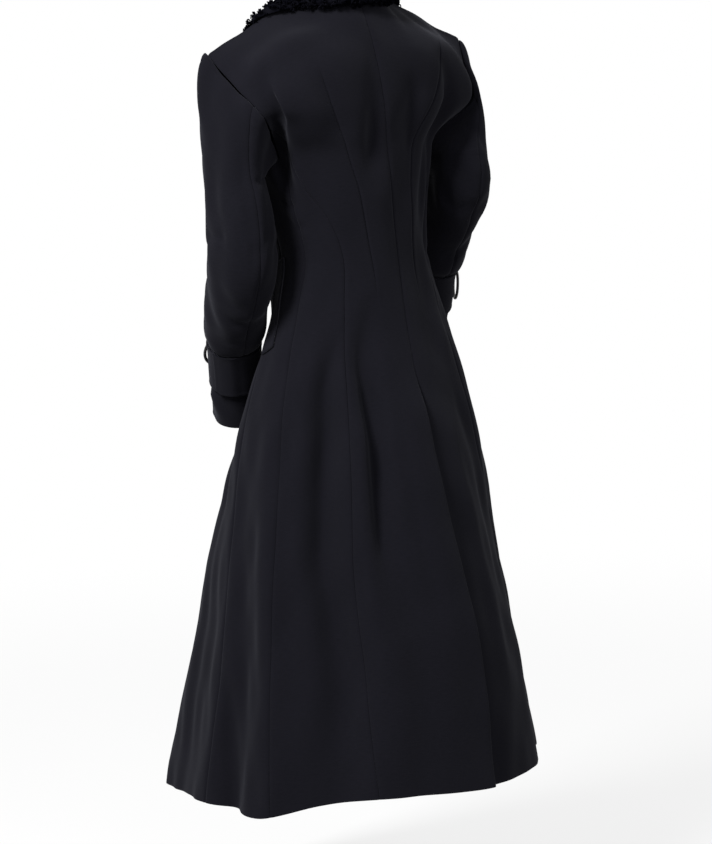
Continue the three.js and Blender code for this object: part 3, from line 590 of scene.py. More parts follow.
def panel(name, top, lines, counts, wool, high=None, lift=None, dip=None, inner=()):
    """A body panel between lines that give s at each level. inner are the strengths of the lines inside."""
    level = fine_rows(HEM, top, 6.0)
    at = [line(level) for line in lines]
    s_parts, distances = [], []
    for k, count in enumerate(counts):
        width = np.abs(at[k + 1] - at[k]) * side_radius(level) * math.pi / 2
        share = spread(np.maximum(width, 0.4), count)
        if k:
            share = share[:, 1:]
        s_parts.append(lerp(at[k][:, None], at[k + 1][:, None], share))
    s = np.concatenate(s_parts, axis=1)
    grid = np.broadcast_to(level[:, None], s.shape)
    if high is not None:
        reached = lerp(CHEST, high(s), 1 - grid / CHEST)
        grid = np.where(grid > CHEST, reached, grid)
    placed = grid - dip(s, grid) if dip else grid
    point = body_point(s, placed)
    normal = body_normal(s, placed)
    out = body_detail(s, placed, point)
    scale = side_radius(grid) * math.pi / 2
    edges = [np.abs(apart(s, lines[0](grid))) * scale, np.abs(apart(s, lines[-1](grid))) * scale]
    out = out + seam_groove(edges[0]) + seam_groove(edges[1])
    for line, strength in zip(lines[1:-1], inner):
        out = out + dart_groove(np.abs(apart(s, line(grid))) * scale) * strength(grid)
    out = out + hem_edge(grid - HEM)
    if lift is not None:
        out = out + lift(s, grid)
    outer = point + normal * out[..., None]
    outer = back_from_edges(outer, normal, SEAM_GAP / 2)
    piece = shell(name, outer, normal, CLOTH, wool)
    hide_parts(name)
    return piece


def back_from_edges(outer, normal, gap):
    moved = outer.copy()
    for line, inside, n in ((0, 1, normal[:, 0]), (-1, -2, normal[:, -1])):
        along = np.gradient(outer[:, line], axis=0)
        away = unit(np.cross(along, n))
        away *= np.where(dot(away, outer[:, inside] - outer[:, line]) < 0, -1, 1)
        moved[:, line] += away * gap
    along = np.gradient(outer[-1], axis=0)
    away = unit(np.cross(along, normal[-1]))
    away *= np.where(dot(away, outer[-2] - outer[-1]) < 0, -1, 1)
    moved[-1] += away * gap
    return moved


def make_body(wool):
    zero = lambda level: 0 * level

    def dart(name):
        facts = DARTS[name]
        line = facts["line"]
        at = lambda level: read(line, "level", "s", level)

        def shown(level):
            start = smooth((facts["top"] - level) / DART_FADE["top"])
            return start * smooth((level - facts["end"]) / DART_FADE["end"])

        return at, shown

    at, shown = dart("back_left")
    lines = [zero, at, princess]
    panel("back_left", 0.0, lines, [14, 14], wool, lift=vent_lift, inner=[shown])
    at, shown = dart("back_right")
    lines = [underlap, at, lambda v: -princess(v)]
    panel("back_right", 0.0, lines, [16, 14], wool, inner=[shown])

    def dip(s, level):
        across = np.clip((np.abs(s) - 1) / (1 - EDGE), -1, 1)
        near = smooth(1 - (CHEST - level) / UNDERARM["fade"])
        return near * UNDERARM["dip"] * np.cos(across * math.pi / 2)

    def back_edge(level):
        return np.where(level > CHEST, EDGE, side_back(level))

    for side, sign in (("left", 1), ("right", -1)):
        lines = [lambda v, g=sign: g * princess(v), lambda v, g=sign: g * back_edge(v)]
        panel(f"side_back_{side}", SIDE_BACK_TOP, lines, [16], wool)
        lines = [lambda v, g=sign: g * side_back(v), lambda v, g=sign: g * side_front(v)]
        panel(f"side_{side}", CHEST, lines, [18], wool, dip=dip)

    def front_top(s):
        share = (2 - np.abs(s)) / EDGE
        return np.where(share >= NECK_SHARE, 0, V_DEPTH * smooth((NECK_SHARE - share) / NECK_SHARE))

    def front_lift(s, level):
        laps = (np.abs(s) - 2) / turn_for(FRONT_LAP, level)
        near = smooth((laps + LAP_FADE["start"]) / LAP_FADE["width"])
        return FRONT_LIFT * near * smooth((LAP_FADE["top"] - level) / LAP_FADE["deep"])

    for side, sign in (("left", 1), ("right", -1)):
        start = lambda v, g=sign: g * np.where(v > CHEST, 2 - EDGE, side_front(v))
        end = lambda v, g=sign: g * (2 + turn_for(FRONT_LAP, v))
        lift = front_lift if sign < 0 else None
        panel(f"front_{side}", 0.0, [start, end], [60], wool, high=front_top, lift=lift)


# ---------------------------------------------------------------- sleeves
def armhole(degrees, sign):
    angle = np.mod(degrees, 360)
    on_front = angle > 180
    down = np.where(on_front, 360 - angle, angle) / 135
    s_climb = np.where(on_front, 2 - EDGE, EDGE)
    climb = body_point(sign * s_climb, CHEST * np.minimum(down, 1))
    across = np.clip((angle - 180) / 45, -1, 1)
    dipped = CHEST - UNDERARM["dip"] * np.cos(across * math.pi / 2)
    under = body_point(sign * (1 + across * (1 - EDGE)), dipped)
    return np.where((down <= 1)[..., None], climb, under)


def measured(side):
    rows = dict(ARMS[side])
    centre = np.stack([rows["x"], rows["y"], rows["z"]], axis=-1)
    rows["along"] = np.concatenate([[0], np.cumsum(np.linalg.norm(np.diff(centre, axis=0), axis=-1))])
    return rows


def arm_frame(rows, along):
    def centre(where):
        return np.stack([read(rows, "along", n, where) for n in "xyz"], axis=-1)

    tangent = unit(centre(along + 4) - centre(along - 4))
    side = np.sign(rows["x"][0])
    outward = np.zeros_like(tangent)
    outward[..., 0] = side
    outward = unit(outward - tangent * dot(outward, tangent))
    back = np.cross(tangent, outward)
    back = back * np.where(back[..., [1]] < 0, -1, 1)
    return centre(along), outward, back, tangent


def arm_point(rows, degrees, along, out=0.0):
    degrees, along = np.broadcast_arrays(np.asarray(degrees, float), np.asarray(along, float))
    centre, outward, back, _ = arm_frame(rows, along)
    angle = np.radians(degrees)
    wide = read(rows, "along", "wide", along) + out
    deep = read(rows, "along", "deep", along) + out
    return centre + outward * (wide * np.cos(angle))[..., None] + back * (deep * np.sin(angle))[..., None]


def sleeve_point(rows, side, degrees, place):
    degrees, place = np.broadcast_arrays(np.asarray(degrees, float), np.asarray(place, float))
    arm = arm_point(rows, degrees, np.maximum(place - CAP["rows"], 0) * ARM_STEP)
    sign = np.sign(rows["x"][0])
    start = armhole(degrees, sign)
    under = (1 - np.cos(np.radians(degrees))) / 2
    away = np.stack(
        [
            sign * lerp(1, CAP["underReach"], under),
            CAP[side] * np.sin(np.radians(degrees)),
            -lerp(CAP["slope"], CAP["underSlope"], under),
        ],
        axis=-1,
    )
    away = unit(away)
    start = start + away
    end = arm_point(rows, degrees, 0 * place)
    down = arm_frame(rows, np.zeros(1))[3]
    gap = np.linalg.norm(start - end, axis=-1)
    first = away * np.minimum(lerp(CAP["rise"], CAP["underRise"], under), gap)[..., None]
    last = down * np.minimum(CAP["fall"], gap)[..., None]
    cap = hermite(start, end, first, last, np.clip(place / CAP["rows"], 0, 1)[..., None])
    return np.where((place < CAP["rows"])[..., None], cap, arm)


def sleeve_normal(rows, side, degrees, place):
    dw, dp = 2.0, 0.06
    around = sleeve_point(rows, side, degrees + dw, place) - sleeve_point(rows, side, degrees - dw, place)
    low = np.maximum(0, place - dp)
    down = sleeve_point(rows, side, degrees, place + dp) - sleeve_point(rows, side, degrees, low)
    return unit(np.cross(around, down)) * -np.sign(rows["x"][0])


def make_sleeves(wool):
    for side in ("left", "right"):
        rows = measured(side)
        length = rows["along"][-1]
        end = CAP["rows"] + length / ARM_STEP
        fine = FINE / ARM_STEP
        cap = np.concatenate([FINE[:-1] / CAP_ROW, np.linspace(FINE[-1] / CAP_ROW, CAP["rows"], 26)])
        arm = np.linspace(CAP["rows"], end - fine[-1], 70)[1:]
        place = np.concatenate([cap, arm, end - fine[-2::-1]])
        back_seam = read(BACK_SEAM, "place", side, place)
        for name, start, stop, count in (
            ("top_sleeve", INNER_SEAM - 360 + 0 * place, back_seam, 36),
            ("under_sleeve", back_seam, INNER_SEAM + 0 * place, 30),
        ):
            width = np.radians(stop - start) * SLEEVE_RADIUS
            share = spread(width, count)
            degrees = lerp(start[:, None], stop[:, None], share)
            grid = np.broadcast_to(place[:, None], degrees.shape)
            point = sleeve_point(rows, side, degrees, grid)
            normal = sleeve_normal(rows, side, degrees, grid)
            along = (grid - CAP["rows"]) * ARM_STEP

            def reach(d, v, d0, v0):
                turn = np.mod(d - d0 + 180, 360) - 180
                return np.radians(turn) * SLEEVE_RADIUS, v - v0

            # The cloth lies smooth under its strap.
            strap_top = rows["along"][-CUFF_RING] + 0.5
            into = along - strap_top + STRAP_COVER["reach"]
            left = strap_top + STRAP["width"] + STRAP_COVER["reach"] - along
            covered = smooth(into / STRAP_COVER["fade"]) * smooth(left / STRAP_COVER["fade"])
            creases = crease_depth(ARM_CREASES[side], degrees, along, reach)
            out = (creases + lumps(point * 1.3)) * (1 - covered)
            out = out + seam_groove(share * width[:, None]) + seam_groove((1 - share) * width[:, None])
            out = out + seam_groove(grid * CAP_ROW) * 0.8 + hem_edge((end - grid) * ARM_STEP)
            roll = CAP_ROLL["depth"] * np.exp(-((grid * CAP_ROLL["share"]) ** 2))
            out = out - roll * np.clip(np.cos(np.radians(degrees)), 0, 1)
            outer = back_from_edges(point + normal * out[..., None], normal, SEAM_GAP / 2)
            piece = shell(f"{name}_{side}", outer, normal, CLOTH, wool)
            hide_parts(f"{name}_{side}")


def make_straps(wool, gloss):
    for side in ("left", "right"):
        rows = measured(side)
        turn = STRAP_TURN[side]
        top = rows["along"][-CUFF_RING] + 0.5
        offsets = FINE[:5]
        middle = np.linspace(5, STRAP["width"] - 5, 24)
        down = np.concatenate([offsets, middle, STRAP["width"] - offsets[::-1]])
        whole = 360 + STRAP["lapLong"]
        round_ = np.concatenate([offsets / 0.7, np.linspace(7, whole - 7, 132), whole - offsets[::-1] / 0.7])
        grid_down, grid_round = np.meshgrid(down, round_, indexing="ij")
        # The lapped end's lower corner is rounded off.
        corner = 14.0
        low = np.clip((grid_down - (STRAP["width"] - corner)) / corner, 0, 1)
        cut = corner * (1 - np.sqrt(1 - low * low)) / 0.75
        near_start = smooth(1 - grid_round / 40)
        grid_round = grid_round + cut * near_start
        degrees = STRAP["lapAt"] + turn + grid_round
        over = (STRAP["thick"] + 0.5) * smooth(1 - (grid_round - STRAP["lapLong"] - 4) / STRAP["step"])
        out = STRAP["lift"] + STRAP["thick"] + over
        edge = np.minimum(grid_down, STRAP["width"] - grid_down)
        edge = np.minimum(edge, np.minimum(grid_round, whole - grid_round) * 0.7)
        rim = 1 - np.clip(edge / 1.2, 0, 1)
        stitch = -0.35 * np.exp(-(((edge - 6) / 0.9) ** 2))
        out = out - 1.2 * (1 - np.sqrt(1 - rim * rim)) + 0.5 * np.exp(-(((edge - 3) / 2) ** 2)) + stitch
        point = arm_point(rows, degrees, top + grid_down, out)
        centre = arm_frame(rows, top + grid_down)[0]
        normal = unit(point - centre)
        point = point + normal * (lumps(point) * 0.12)[..., None]
        piece = shell(f"sleeve_strap_{side}", point, normal, STRAP["thick"] - 0.4, wool)
        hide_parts(f"sleeve_strap_{side}")

        middle = np.array([top + STRAP["width"] / 2])
        centre, outward, back, tangent = (v[0] for v in arm_frame(rows, middle))
        angle = math.radians(RING["at"] + turn)
        out = outward * math.cos(angle) + back * math.sin(angle)
        wide = float(read(rows, "along", "wide", middle)[0])
        deep = float(read(rows, "along", "deep", middle)[0])
        reach = math.hypot(wide * math.cos(angle), deep * math.sin(angle))
        seat = reach + STRAP["lift"] + STRAP["thick"] + RING[side] + RING["wire"]
        ring = torus(centre + out * seat, tangent, np.cross(out, tangent), out)
        piece = build(f"strap_ring_{side}", *ring, gloss, "ring")
        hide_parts(f"strap_ring_{side}")


def torus(centre, x, y, axis, around=64, through=14):
    a = np.linspace(0, 2 * math.pi, around, endpoint=False)
    b = np.linspace(0, 2 * math.pi, through, endpoint=False)
    spoke = np.cos(a)[:, None] * x + np.sin(a)[:, None] * y
    # The wire is a little flat, as a cast ring's is.
    radius = RING["radius"] + RING["wire"] * np.cos(b)[None, :]
    height = (RING["wire"] * 0.9 * np.sin(b))[None, :, None]
    points = centre + spoke[:, None, :] * radius[..., None] + axis * height
    i, j = np.meshgrid(np.arange(around), np.arange(through), indexing="ij")
    a1, b1 = (i + 1) % around, (j + 1) % through
    faces = np.stack([i * through + j, a1 * through + j, a1 * through + b1, i * through + b1], axis=-1)
    return points.reshape(-1, 3), faces.reshape(-1, 4)


def make_welts(wool):
    offsets = FINE[:5]
    for side, sign in (("left", 1), ("right", -1)):
        length = WELT["top"] - WELT["end"]
        down = np.concatenate([offsets, np.linspace(5, length - 5, 26), length - offsets[::-1]])
        middle = np.linspace(5, WELT["width"] - 5, 7)
        across = np.concatenate([offsets, middle, WELT["width"] - offsets[::-1]])
        grid_down, grid_across = np.meshgrid(down, across, indexing="ij")
        share_down, share = grid_down / length, grid_across / WELT["width"]
        level = WELT["top"] - grid_down
        s = lerp(WELT["sTop"], WELT["sEnd"], share_down) + share * turn_for(WELT["width"], level)
        level = level - WELT["slant"] * share
        point = body_point(sign * s, level)
        normal = body_normal(sign * s, level)
        edge = np.minimum(grid_across, WELT["width"] - grid_across)
        edge = np.minimum(np.minimum(grid_down, length - grid_down), edge)
        rim = 1 - np.clip(edge / 1.2, 0, 1)
        out = WELT["thick"] + WELT["slack"] - 1.2 * (1 - np.sqrt(1 - rim * rim))
        out = out + 0.4 * np.exp(-(((edge - 3) / 2) ** 2))
        out = out - 0.35 * np.exp(-(((edge - 6) / 0.9) ** 2)) + body_detail(sign * s, level, point)
        piece = shell(f"pocket_welt_{side}", point + normal * out[..., None], normal, WELT["thick"], wool)
        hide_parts(f"pocket_welt_{side}")


# ---------------------------------------------------------------- buttons
def make_buttons(gloss):
    """Four turned buttons, dished, with a rim and two crossed bars of thread."""
    profile = np.array([
        (0, 0.2), (4.2, 0.2), (5.2, 0.6), (8.6, 1.4), (10.4, 2.3), (11.6, 2.5), (13, 2.2),
        (13.8, 1.2), (14, 0),
        (13.8, -1.4), (12.6, -2.3), (9, -2.5), (0, -2.5),
    ])
    for k, (level, clear) in enumerate(BUTTONS, 1):
        s = -2 - turn_for(FRONT_LAP - BUTTON["inset"], level)
        base = body_point(np.array([s]), np.array([float(level)]))[0]
        axis = body_normal(np.array([s]), np.array([float(level)]))[0]
        centre = base + axis * (FRONT_LIFT + clear + BUTTON["thick"] / 2)
        x = unit(np.cross(axis, np.array([0, 0, 1.0])))
        y = np.cross(axis, x)
        around = 48
        angle = np.linspace(0, 2 * math.pi, around, endpoint=False)
        spoke = np.cos(angle)[:, None] * x + np.sin(angle)[:, None] * y
        points = [centre + axis * profile[0, 1]]
        for radius, height in profile[1:-1]:
            points.extend(centre + spoke * radius + axis * height)
        points.append(centre + axis * profile[-1, 1])
        faces = []
        rings = len(profile) - 2
        for i in range(around):
            j = (i + 1) % around
            faces.append((0, 1 + i, 1 + j))
            for r in range(rings - 1):
                a, b = 1 + r * around, 1 + (r + 1) * around
                faces.append((a + i, b + i, b + j))
                faces.append((a + i, b + j, a + j))
            last = 1 + (rings - 1) * around
            faces.append((last + i, len(points) - 1, last + j))
        # Two crossed bars of thread over the middle.
        for turn in (45, 135):
            t = math.radians(turn)
            u = x * math.cos(t) + y * math.sin(t)
            v = np.cross(axis, u)
            first = len(points)
            for along in np.linspace(-3.4, 3.4, 9):
                height = 0.1 + 1.1 * math.cos(along / 3.4 * math.pi / 2)
                for a in np.linspace(0, 2 * math.pi, 6, endpoint=False):
                    bar = centre + u * along + v * 0.6 * math.cos(a)
                    points.append(bar + axis * (height + 0.6 * math.sin(a)))
            for r in range(8):
                for a in range(6):
                    p, q = first + r * 6 + a, first + r * 6 + (a + 1) % 6
                    faces.append((p, p + 6, q + 6))
                    faces.append((p, q + 6, q))
        piece = build(f"button_{k}", points, faces, gloss, "horn")
        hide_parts(f"button_{k}")


# ---------------------------------------------------------------- the fur collar
def collar_section(place, sign, inset):
    front = place > 1
    f = place - 1 if front else place
    if front:
        neck = (NECK_SHARE * (1 - f * COLLAR["ends"]), V_DEPTH * float(smooth(f * COLLAR["ends"])))
    else:
        neck = (NECK_SHARE * f, 0.0)
    reach = COLLAR["left"] if sign > 0 else COLLAR["right"]
    if front:
        outer = (
            neck[0] + (reach - NECK_SHARE) * (1 - COLLAR["taper"] * float(smooth(f))),
            min(0.0, neck[1] * COLLAR["fall"] - COLLAR["drop"] * float(smooth(f * 3))),
        )
    else:
        outer = (lerp(0.02, reach, f), -COLLAR["backFall"] * (1 - float(smooth(f)) ** 2))

    def at(w, out):
        across = lerp(neck[0], outer[0], w) * EDGE
        level = np.array([min(-0.5, lerp(neck[1], outer[1], w))])
        s = np.array([sign * (2 - across if front else across)])
        return body_point(s, level)[0] + body_normal(s, level)[0] * out

    flat = float(smooth(f * 1.6)) if front else 0.0
    over = 0.5 + (FRONT_LIFT * float(smooth(f * 2)) if front else 0)
    pile = over + COLLAR["pile"] * (1 - COLLAR["thinner"] * f if front else 1) - inset
    stand = lerp(COLLAR["stand"] - inset, pile, flat)
    root = at(0, 0)
    inward = unit(np.array([-root[0], -root[1], 0]))
    inward = unit(lerp(inward, unit(root - at(0.3, 0)), flat))
    up = unit(lerp(np.array([0, 0, 1.0]), at(0, 1) - root, flat))

    def raised(back, height):
        return root + inward * back + up * height

    edge = inset * 0.6
    inner = (root - at(1, 0)) / max(np.linalg.norm(root - at(1, 0)), 1) * edge
    return np.array([
        at(0.08, over + COLLAR["rootSlack"]),
        at(0.5, over + COLLAR["slack"]),
        at(1, over + COLLAR["slack"]) + inner,
        at(1.04, over + COLLAR["pile"] * 0.5 - inset * 0.3) + inner,
        at(0.9, pile),
        at(0.5, pile + 4),
        raised(-6, stand),
        raised(4, stand + 4),
        raised(COLLAR["inner"] + 3 - edge, stand - 3),
        raised(COLLAR["inner"] - edge, over + lerp(COLLAR["hang"], COLLAR["rootSlack"], flat)),
    ])


def closed_curve(points, steps):
    """Catmull-Rom through rows of closed points: (n, k, 3) to (n, k * steps, 3)."""
    u = np.arange(steps)[None, None, :, None] / steps
    p0, p1, p2, p3 = (np.roll(points, shift, axis=1)[:, :, None, :] for shift in (1, 0, -1, -2))
    curve = hermite(p1, p2, (p2 - p0) * 0.45, (p3 - p1) * 0.45, u)
    return curve.reshape(points.shape[0], -1, 3)


def make_collar(fur):
    marks = np.linspace(1.84, 0, 46)
    halves = [(p, -1) for p in marks] + [(p, 1) for p in marks[-2::-1]]
    sections = np.array([collar_section(p, sign, 4.5) for p, sign in halves])
    skin = closed_curve(sections, 4)
    rows, around = skin.shape[:2]
    soft = skin.copy()
    for _ in range(2):
        soft[1:-1] = (soft[:-2] + 2 * soft[1:-1] + soft[2:]) / 4
    skin = soft
    points = skin.reshape(-1, 3)
    i, j = np.meshgrid(np.arange(rows - 1), np.arange(around), indexing="ij")
    a, b = (i * around + j).ravel(), (i * around + (j + 1) % around).ravel()
    side = np.stack([a, b, b + around, a + around], axis=1)
    faces = np.concatenate([side[:, [0, 1, 2]], side[:, [0, 2, 3]]])
    caps = []
    for first, flip in ((0, True), ((rows - 1) * around, False)):
        centre = len(points)
        points = np.concatenate([points, points[first:first + around].mean(axis=0, keepdims=True)])
        for k in range(around):
            tri = (first + k, first + (k + 1) % around, centre)
            caps.append(tri[::-1] if not flip else tri)
    faces = np.concatenate([faces, np.array(caps)[:, ::-1]])
    piece = build("fur_collar", points, faces, fur, "fur")
    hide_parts("fur_collar")

    # Where the curls grow: every face but those of the underside.
    centres = points[side].mean(axis=1)
    normals = np.cross(points[side[:, 2]] - points[side[:, 0]], points[side[:, 3]] - points[side[:, 1]])
    area = np.linalg.norm(normals, axis=-1) / 2
    normals = unit(normals)
    middle = skin.mean(axis=1)[(np.arange(len(side)) // around)]
    if dot(normals, centres - middle).mean() < 0:
        normals = -normals
    span = (np.arange(len(side)) % around) / 4
    grows = (span >= 2.0) & (span < 9.0)
    chance = area * grows
    count = 2500
    chosen = RNG.choice(len(side), size=count, p=chance / chance.sum())
    u, v = RNG.uniform(size=(2, count, 1))
    q = points[side[chosen]]
    base = (q[:, 0] * (1 - u) + q[:, 1] * u) * (1 - v) + (q[:, 3] * (1 - u) + q[:, 2] * u) * v
    curls = curl_tubes(base, normals[chosen])
    tufts = build("fur_curls", *curls, fur, "fur")
    tufts.parent = piece


def curl_tubes(base, normal, steps=10, sides=4):
    """Locks that roll along the skin as small corkscrews, from thick to thin."""
    count = len(base)
    along = RNG.normal(size=(count, 3))
    along = unit(along - normal * dot(along, normal))
    across = np.cross(normal, along)
    t = np.linspace(0, 1, steps)[None, :, None]
    radius = RNG.uniform(1.7, 3.1, (count, 1, 1)) * (1 - 0.3 * t)
    length = RNG.uniform(2.5, 6.5, (count, 1, 1))
    turns = RNG.uniform(1.1, 1.9, (count, 1, 1)) * RNG.choice([-1, 1], (count, 1, 1))
    angle = RNG.uniform(0, 2 * math.pi, (count, 1, 1)) + 2 * math.pi * turns * t
    lift = RNG.uniform(-0.3, 1.3, (count, 1, 1)) + radius
    path = (
        base[:, None] + along[:, None] * (length * (t - 0.5)) + across[:, None] * (radius * np.cos(angle))
        + normal[:, None] * (lift + radius * np.sin(angle))
    )
    tangent = unit(np.gradient(path, axis=1))
    spine = base[:, None] + along[:, None] * (length * (t - 0.5)) + normal[:, None] * lift
    x = unit(path - spine)
    x = unit(x - tangent * dot(x, tangent))
    y = np.cross(tangent, x)
    thick = RNG.uniform(0.75, 1.25, (count, 1, 1)) * (1 - 0.5 * t ** 2)
    ring = np.linspace(0, 2 * math.pi, sides, endpoint=False)
    tube = path[:, :, None] + (
        x[:, :, None] * np.cos(ring)[None, None, :, None] + y[:, :, None] * np.sin(ring)[None, None, :, None]
    ) * thick[..., None]
    points = tube.reshape(-1, 3)
    k, j = np.meshgrid(np.arange(steps - 1), np.arange(sides), indexing="ij")
    a = (k * sides + j).ravel()
    b = (k * sides + (j + 1) % sides).ravel()
    one = np.concatenate([np.stack([a, b, b + sides], 1), np.stack([a, b + sides, a + sides], 1)])
    last = (steps - 1) * sides
    ends = np.array([(0, 2, 1), (0, 3, 2), (last, last + 1, last + 2), (last, last + 2, last + 3)])
    one = np.concatenate([one, ends])
    faces = (one[None] + (np.arange(count) * steps * sides)[:, None, None]).reshape(-1, 3)
    return points, faces


# ---------------------------------------------------------------- materials
def material(name, roughness, specular=0.5, sheen=0.0, sheen_roughness=0.5, tint=(1, 1, 1)):
    made = bpy.data.materials.new(name)
    made.use_nodes = True
    shader = made.node_tree.nodes["Principled BSDF"]
    shader.inputs["Roughness"].default_value = roughness
    shader.inputs["Specular IOR Level"].default_value = specular
    shader.inputs["Sheen Weight"].default_value = sheen
    shader.inputs["Sheen Roughness"].default_value = sheen_roughness
    shader.inputs["Sheen Tint"].default_value = (*tint, 1)
    return made, shader


def noise(tree, vector, scale, detail=3.0, stretch=(1, 1, 1), roughness=0.5):
    mapping = tree.nodes.new("ShaderNodeMapping")
    mapping.inputs["Scale"].default_value = stretch
    tree.links.new(vector, mapping.inputs["Vector"])
    made = tree.nodes.new("ShaderNodeTexNoise")
    made.inputs["Scale"].default_value = scale
    made.inputs["Detail"].default_value = detail
    made.inputs["Roughness"].default_value = roughness
    tree.links.new(mapping.outputs["Vector"], made.inputs["Vector"])
    return made.outputs["Fac"]


def ramp(tree, fac, *stops):
    made = tree.nodes.new("ShaderNodeValToRGB")
    elements = made.color_ramp.elements
    while len(elements) < len(stops):
        elements.new(0.5)
    for element, (place, colour) in zip(elements, stops):
        element.position = place
        element.color = (*colour, 1)
    tree.links.new(fac, made.inputs["Fac"])
    return made.outputs["Color"]


def bumped(tree, shader, *layers):
    """Bump nodes in a row: (height socket, strength, distance in metres)."""
    last = None
    for height, strength, distance in layers:
        node = tree.nodes.new("ShaderNodeBump")
        node.inputs["Strength"].default_value = strength
        node.inputs["Distance"].default_value = distance
        tree.links.new(height, node.inputs["Height"])
        if last is not None:
            tree.links.new(last, node.inputs["Normal"])
        last = node.outputs["Normal"]
    tree.links.new(last, shader.inputs["Normal"])


WOOL_DARK = (0.0016, 0.0016, 0.0025)
WOOL_LIGHT = (0.0028, 0.0027, 0.0041)


def wool_material():
    made, shader = material("wool", 0.95, specular=0.03, sheen=0.02, tint=(0.82, 0.84, 1.0))
    tree = made.node_tree
    cloth = tree.nodes.new("ShaderNodeUVMap")
    cloth.uv_map = "cloth"
    vector = cloth.outputs["UV"]
    # Fine ribs lie across the cloth; broad cloudiness and short fibres lie over them.
    ribs = noise(tree, vector, 90, 2, (1, 5.5, 1))
    fibre = noise(tree, vector, 900, 4, (1, 1.6, 1), 0.65)
    cloud = noise(tree, vector, 7, 3)
    mix = tree.nodes.new("ShaderNodeMix")
    mix.inputs["Factor"].default_value = 0.45
    tree.links.new(ribs, mix.inputs["A"])
    tree.links.new(cloud, mix.inputs["B"])
    both = tree.nodes.new("ShaderNodeMix")
    both.inputs["Factor"].default_value = 0.3
    tree.links.new(mix.outputs["Result"], both.inputs["A"])
    tree.links.new(fibre, both.inputs["B"])
    colour = ramp(tree, both.outputs["Result"], (0.3, WOOL_DARK), (0.7, WOOL_LIGHT))
    tree.links.new(colour, shader.inputs["Base Color"])
    bumped(tree, shader, (ribs, 0.5, 0.0005), (fibre, 0.5, 0.0003))
    return made


def fur_material():
    made, shader = material("fur", 0.5, specular=0.0, sheen=0.0)
    tree = made.node_tree
    place = tree.nodes.new("ShaderNodeTexCoord").outputs["Object"]
    cloud = noise(tree, place, 60, 2)
    hair = noise(tree, place, 1500, 3)
    colour = ramp(tree, cloud, (0.35, (0.0006, 0.0006, 0.0011)), (0.7, (0.0022, 0.0022, 0.0032)))
    tree.links.new(colour, shader.inputs["Base Color"])
    bumped(tree, shader, (hair, 0.6, 0.0004))
    return made


def gloss_material(name, roughness):
    made, shader = material(name, roughness, specular=0.16)
    tree = made.node_tree
    place = tree.nodes.new("ShaderNodeTexCoord").outputs["Object"]
    cloud = noise(tree, place, 300, 4)
    colour = ramp(tree, cloud, (0.3, (0.004, 0.004, 0.005)), (0.75, (0.010, 0.009, 0.009)))
    tree.links.new(colour, shader.inputs["Base Color"])
    bumped(tree, shader, (cloud, 0.08, 0.0002))
    return made


# ---------------------------------------------------------------- camera, floor and light
AZIMUTH, ELEVATION, ROLL = map(math.radians, (148, 5.7, 2))
DISTANCE, ASIDE, AIM = 4.0, 0.0096, -0.662
FLOOR = -1.46
FLOOR_TONE, FLOOR_GLOW, FLOOR_FADE = 0.36, 0.78, (1.2, 4.2)


def make_camera():
    right = Vector((math.cos(AZIMUTH), math.sin(AZIMUTH), 0))
    flat = math.cos(ELEVATION)
    back = Vector((math.sin(AZIMUTH) * flat, -math.cos(AZIMUTH) * flat, math.sin(ELEVATION)))
    up = back.cross(right)
    target = right * ASIDE + Vector((0, 0, AIM))
    x = right * math.cos(ROLL) - up * math.sin(ROLL)
    y = up * math.cos(ROLL) + right * math.sin(ROLL)
    turn = Matrix((x, y, back)).transposed().to_4x4()
    data = bpy.data.cameras.new("camera")
    data.sensor_fit = "AUTO"
    data.sensor_width = 36
    data.lens = 2500 * 36 / 844
    camera = bpy.data.objects.new("camera", data)
    camera.matrix_world = Matrix.Translation(target + back * DISTANCE) @ turn
    bpy.context.scene.collection.objects.link(camera)
    bpy.context.scene.camera = camera
    return right, up, back, target


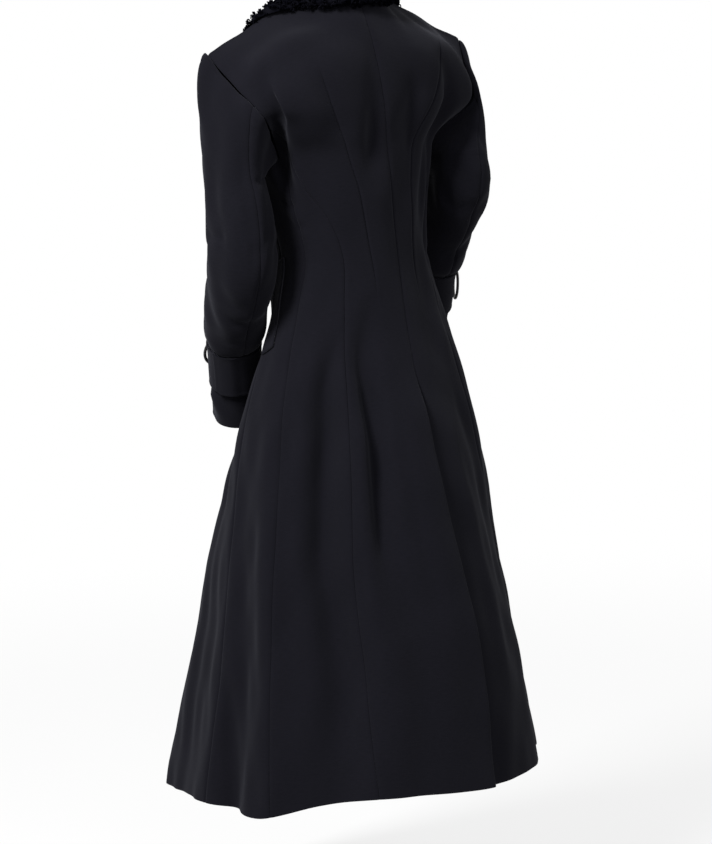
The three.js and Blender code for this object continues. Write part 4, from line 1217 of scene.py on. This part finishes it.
def floor_material():
    """A pale floor painted with light: partly a white glow near the coat and wholly a glow far away, so it is
    brighter away from the coat and fades into the white backdrop.
    """
    made, shader = material("floor", 0.9, specular=0.0)
    shader.inputs["Base Color"].default_value = (*[FLOOR_TONE] * 3, 1)
    tree = made.node_tree
    place = tree.nodes.new("ShaderNodeTexCoord").outputs["Object"]
    far = tree.nodes.new("ShaderNodeVectorMath")
    far.operation = "LENGTH"
    tree.links.new(place, far.inputs[0])
    fade = tree.nodes.new("ShaderNodeMapRange")
    fade.interpolation_type = "SMOOTHSTEP"
    fade.inputs["From Min"].default_value, fade.inputs["From Max"].default_value = FLOOR_FADE
    fade.inputs["To Min"].default_value = FLOOR_GLOW
    tree.links.new(far.outputs["Value"], fade.inputs["Value"])
    # Painted light: this emission lights the floor in place of the lamps, its share set by the fade above.
    glow = tree.nodes.new("ShaderNodeEmission")
    both = tree.nodes.new("ShaderNodeMixShader")
    tree.links.new(fade.outputs["Result"], both.inputs["Fac"])
    tree.links.new(shader.outputs["BSDF"], both.inputs[1])
    tree.links.new(glow.outputs["Emission"], both.inputs[2])
    tree.links.new(both.outputs["Shader"], tree.nodes["Material Output"].inputs["Surface"])
    return made


def make_light(name, where, target, size, power):
    data = bpy.data.lights.new(name, "AREA")
    data.shape = "RECTANGLE"
    data.size, data.size_y = size
    data.energy = power
    light = bpy.data.objects.new(name, data)
    light.location = where
    light.rotation_euler = (target - where).to_track_quat("-Z", "Y").to_euler()
    bpy.context.scene.collection.objects.link(light)


def make_studio():
    right, up, back, target = make_camera()
    scene = bpy.context.scene
    scene.view_settings.view_transform = "Standard"
    world = bpy.data.worlds.new("studio")
    scene.world = world
    world.use_nodes = True
    shade = world.node_tree.nodes["Background"]
    shade.inputs["Color"].default_value = (1, 1, 1, 1)
    shade.inputs["Strength"].default_value = 1.0
    mesh = bpy.data.meshes.new("floor")
    far = 30
    corners = [(-far, -far, FLOOR), (far, -far, FLOOR), (far, far, FLOOR), (-far, far, FLOOR)]
    mesh.from_pydata(corners, [], [(0, 1, 2, 3)])
    floor = bpy.data.objects.new("floor", mesh)
    scene.collection.objects.link(floor)
    mesh.materials.append(floor_material())
    make_light("key", target - right * 1.9 + back * 2.5 + up * 2.4, target + up * 0.1, (0.9, 1.3), 520)
    make_light("fill", target + right * 2.4 + back * 2.8 + up * 1.4, target, (1.4, 2.2), 75)


def main():
    make_studio()
    wool = wool_material()
    fur = fur_material()
    make_body(wool)
    make_sleeves(wool)
    make_straps(wool, gloss_material("ring", 0.25))
    make_welts(wool)
    make_buttons(gloss_material("horn", 0.28))
    make_collar(fur)


main()
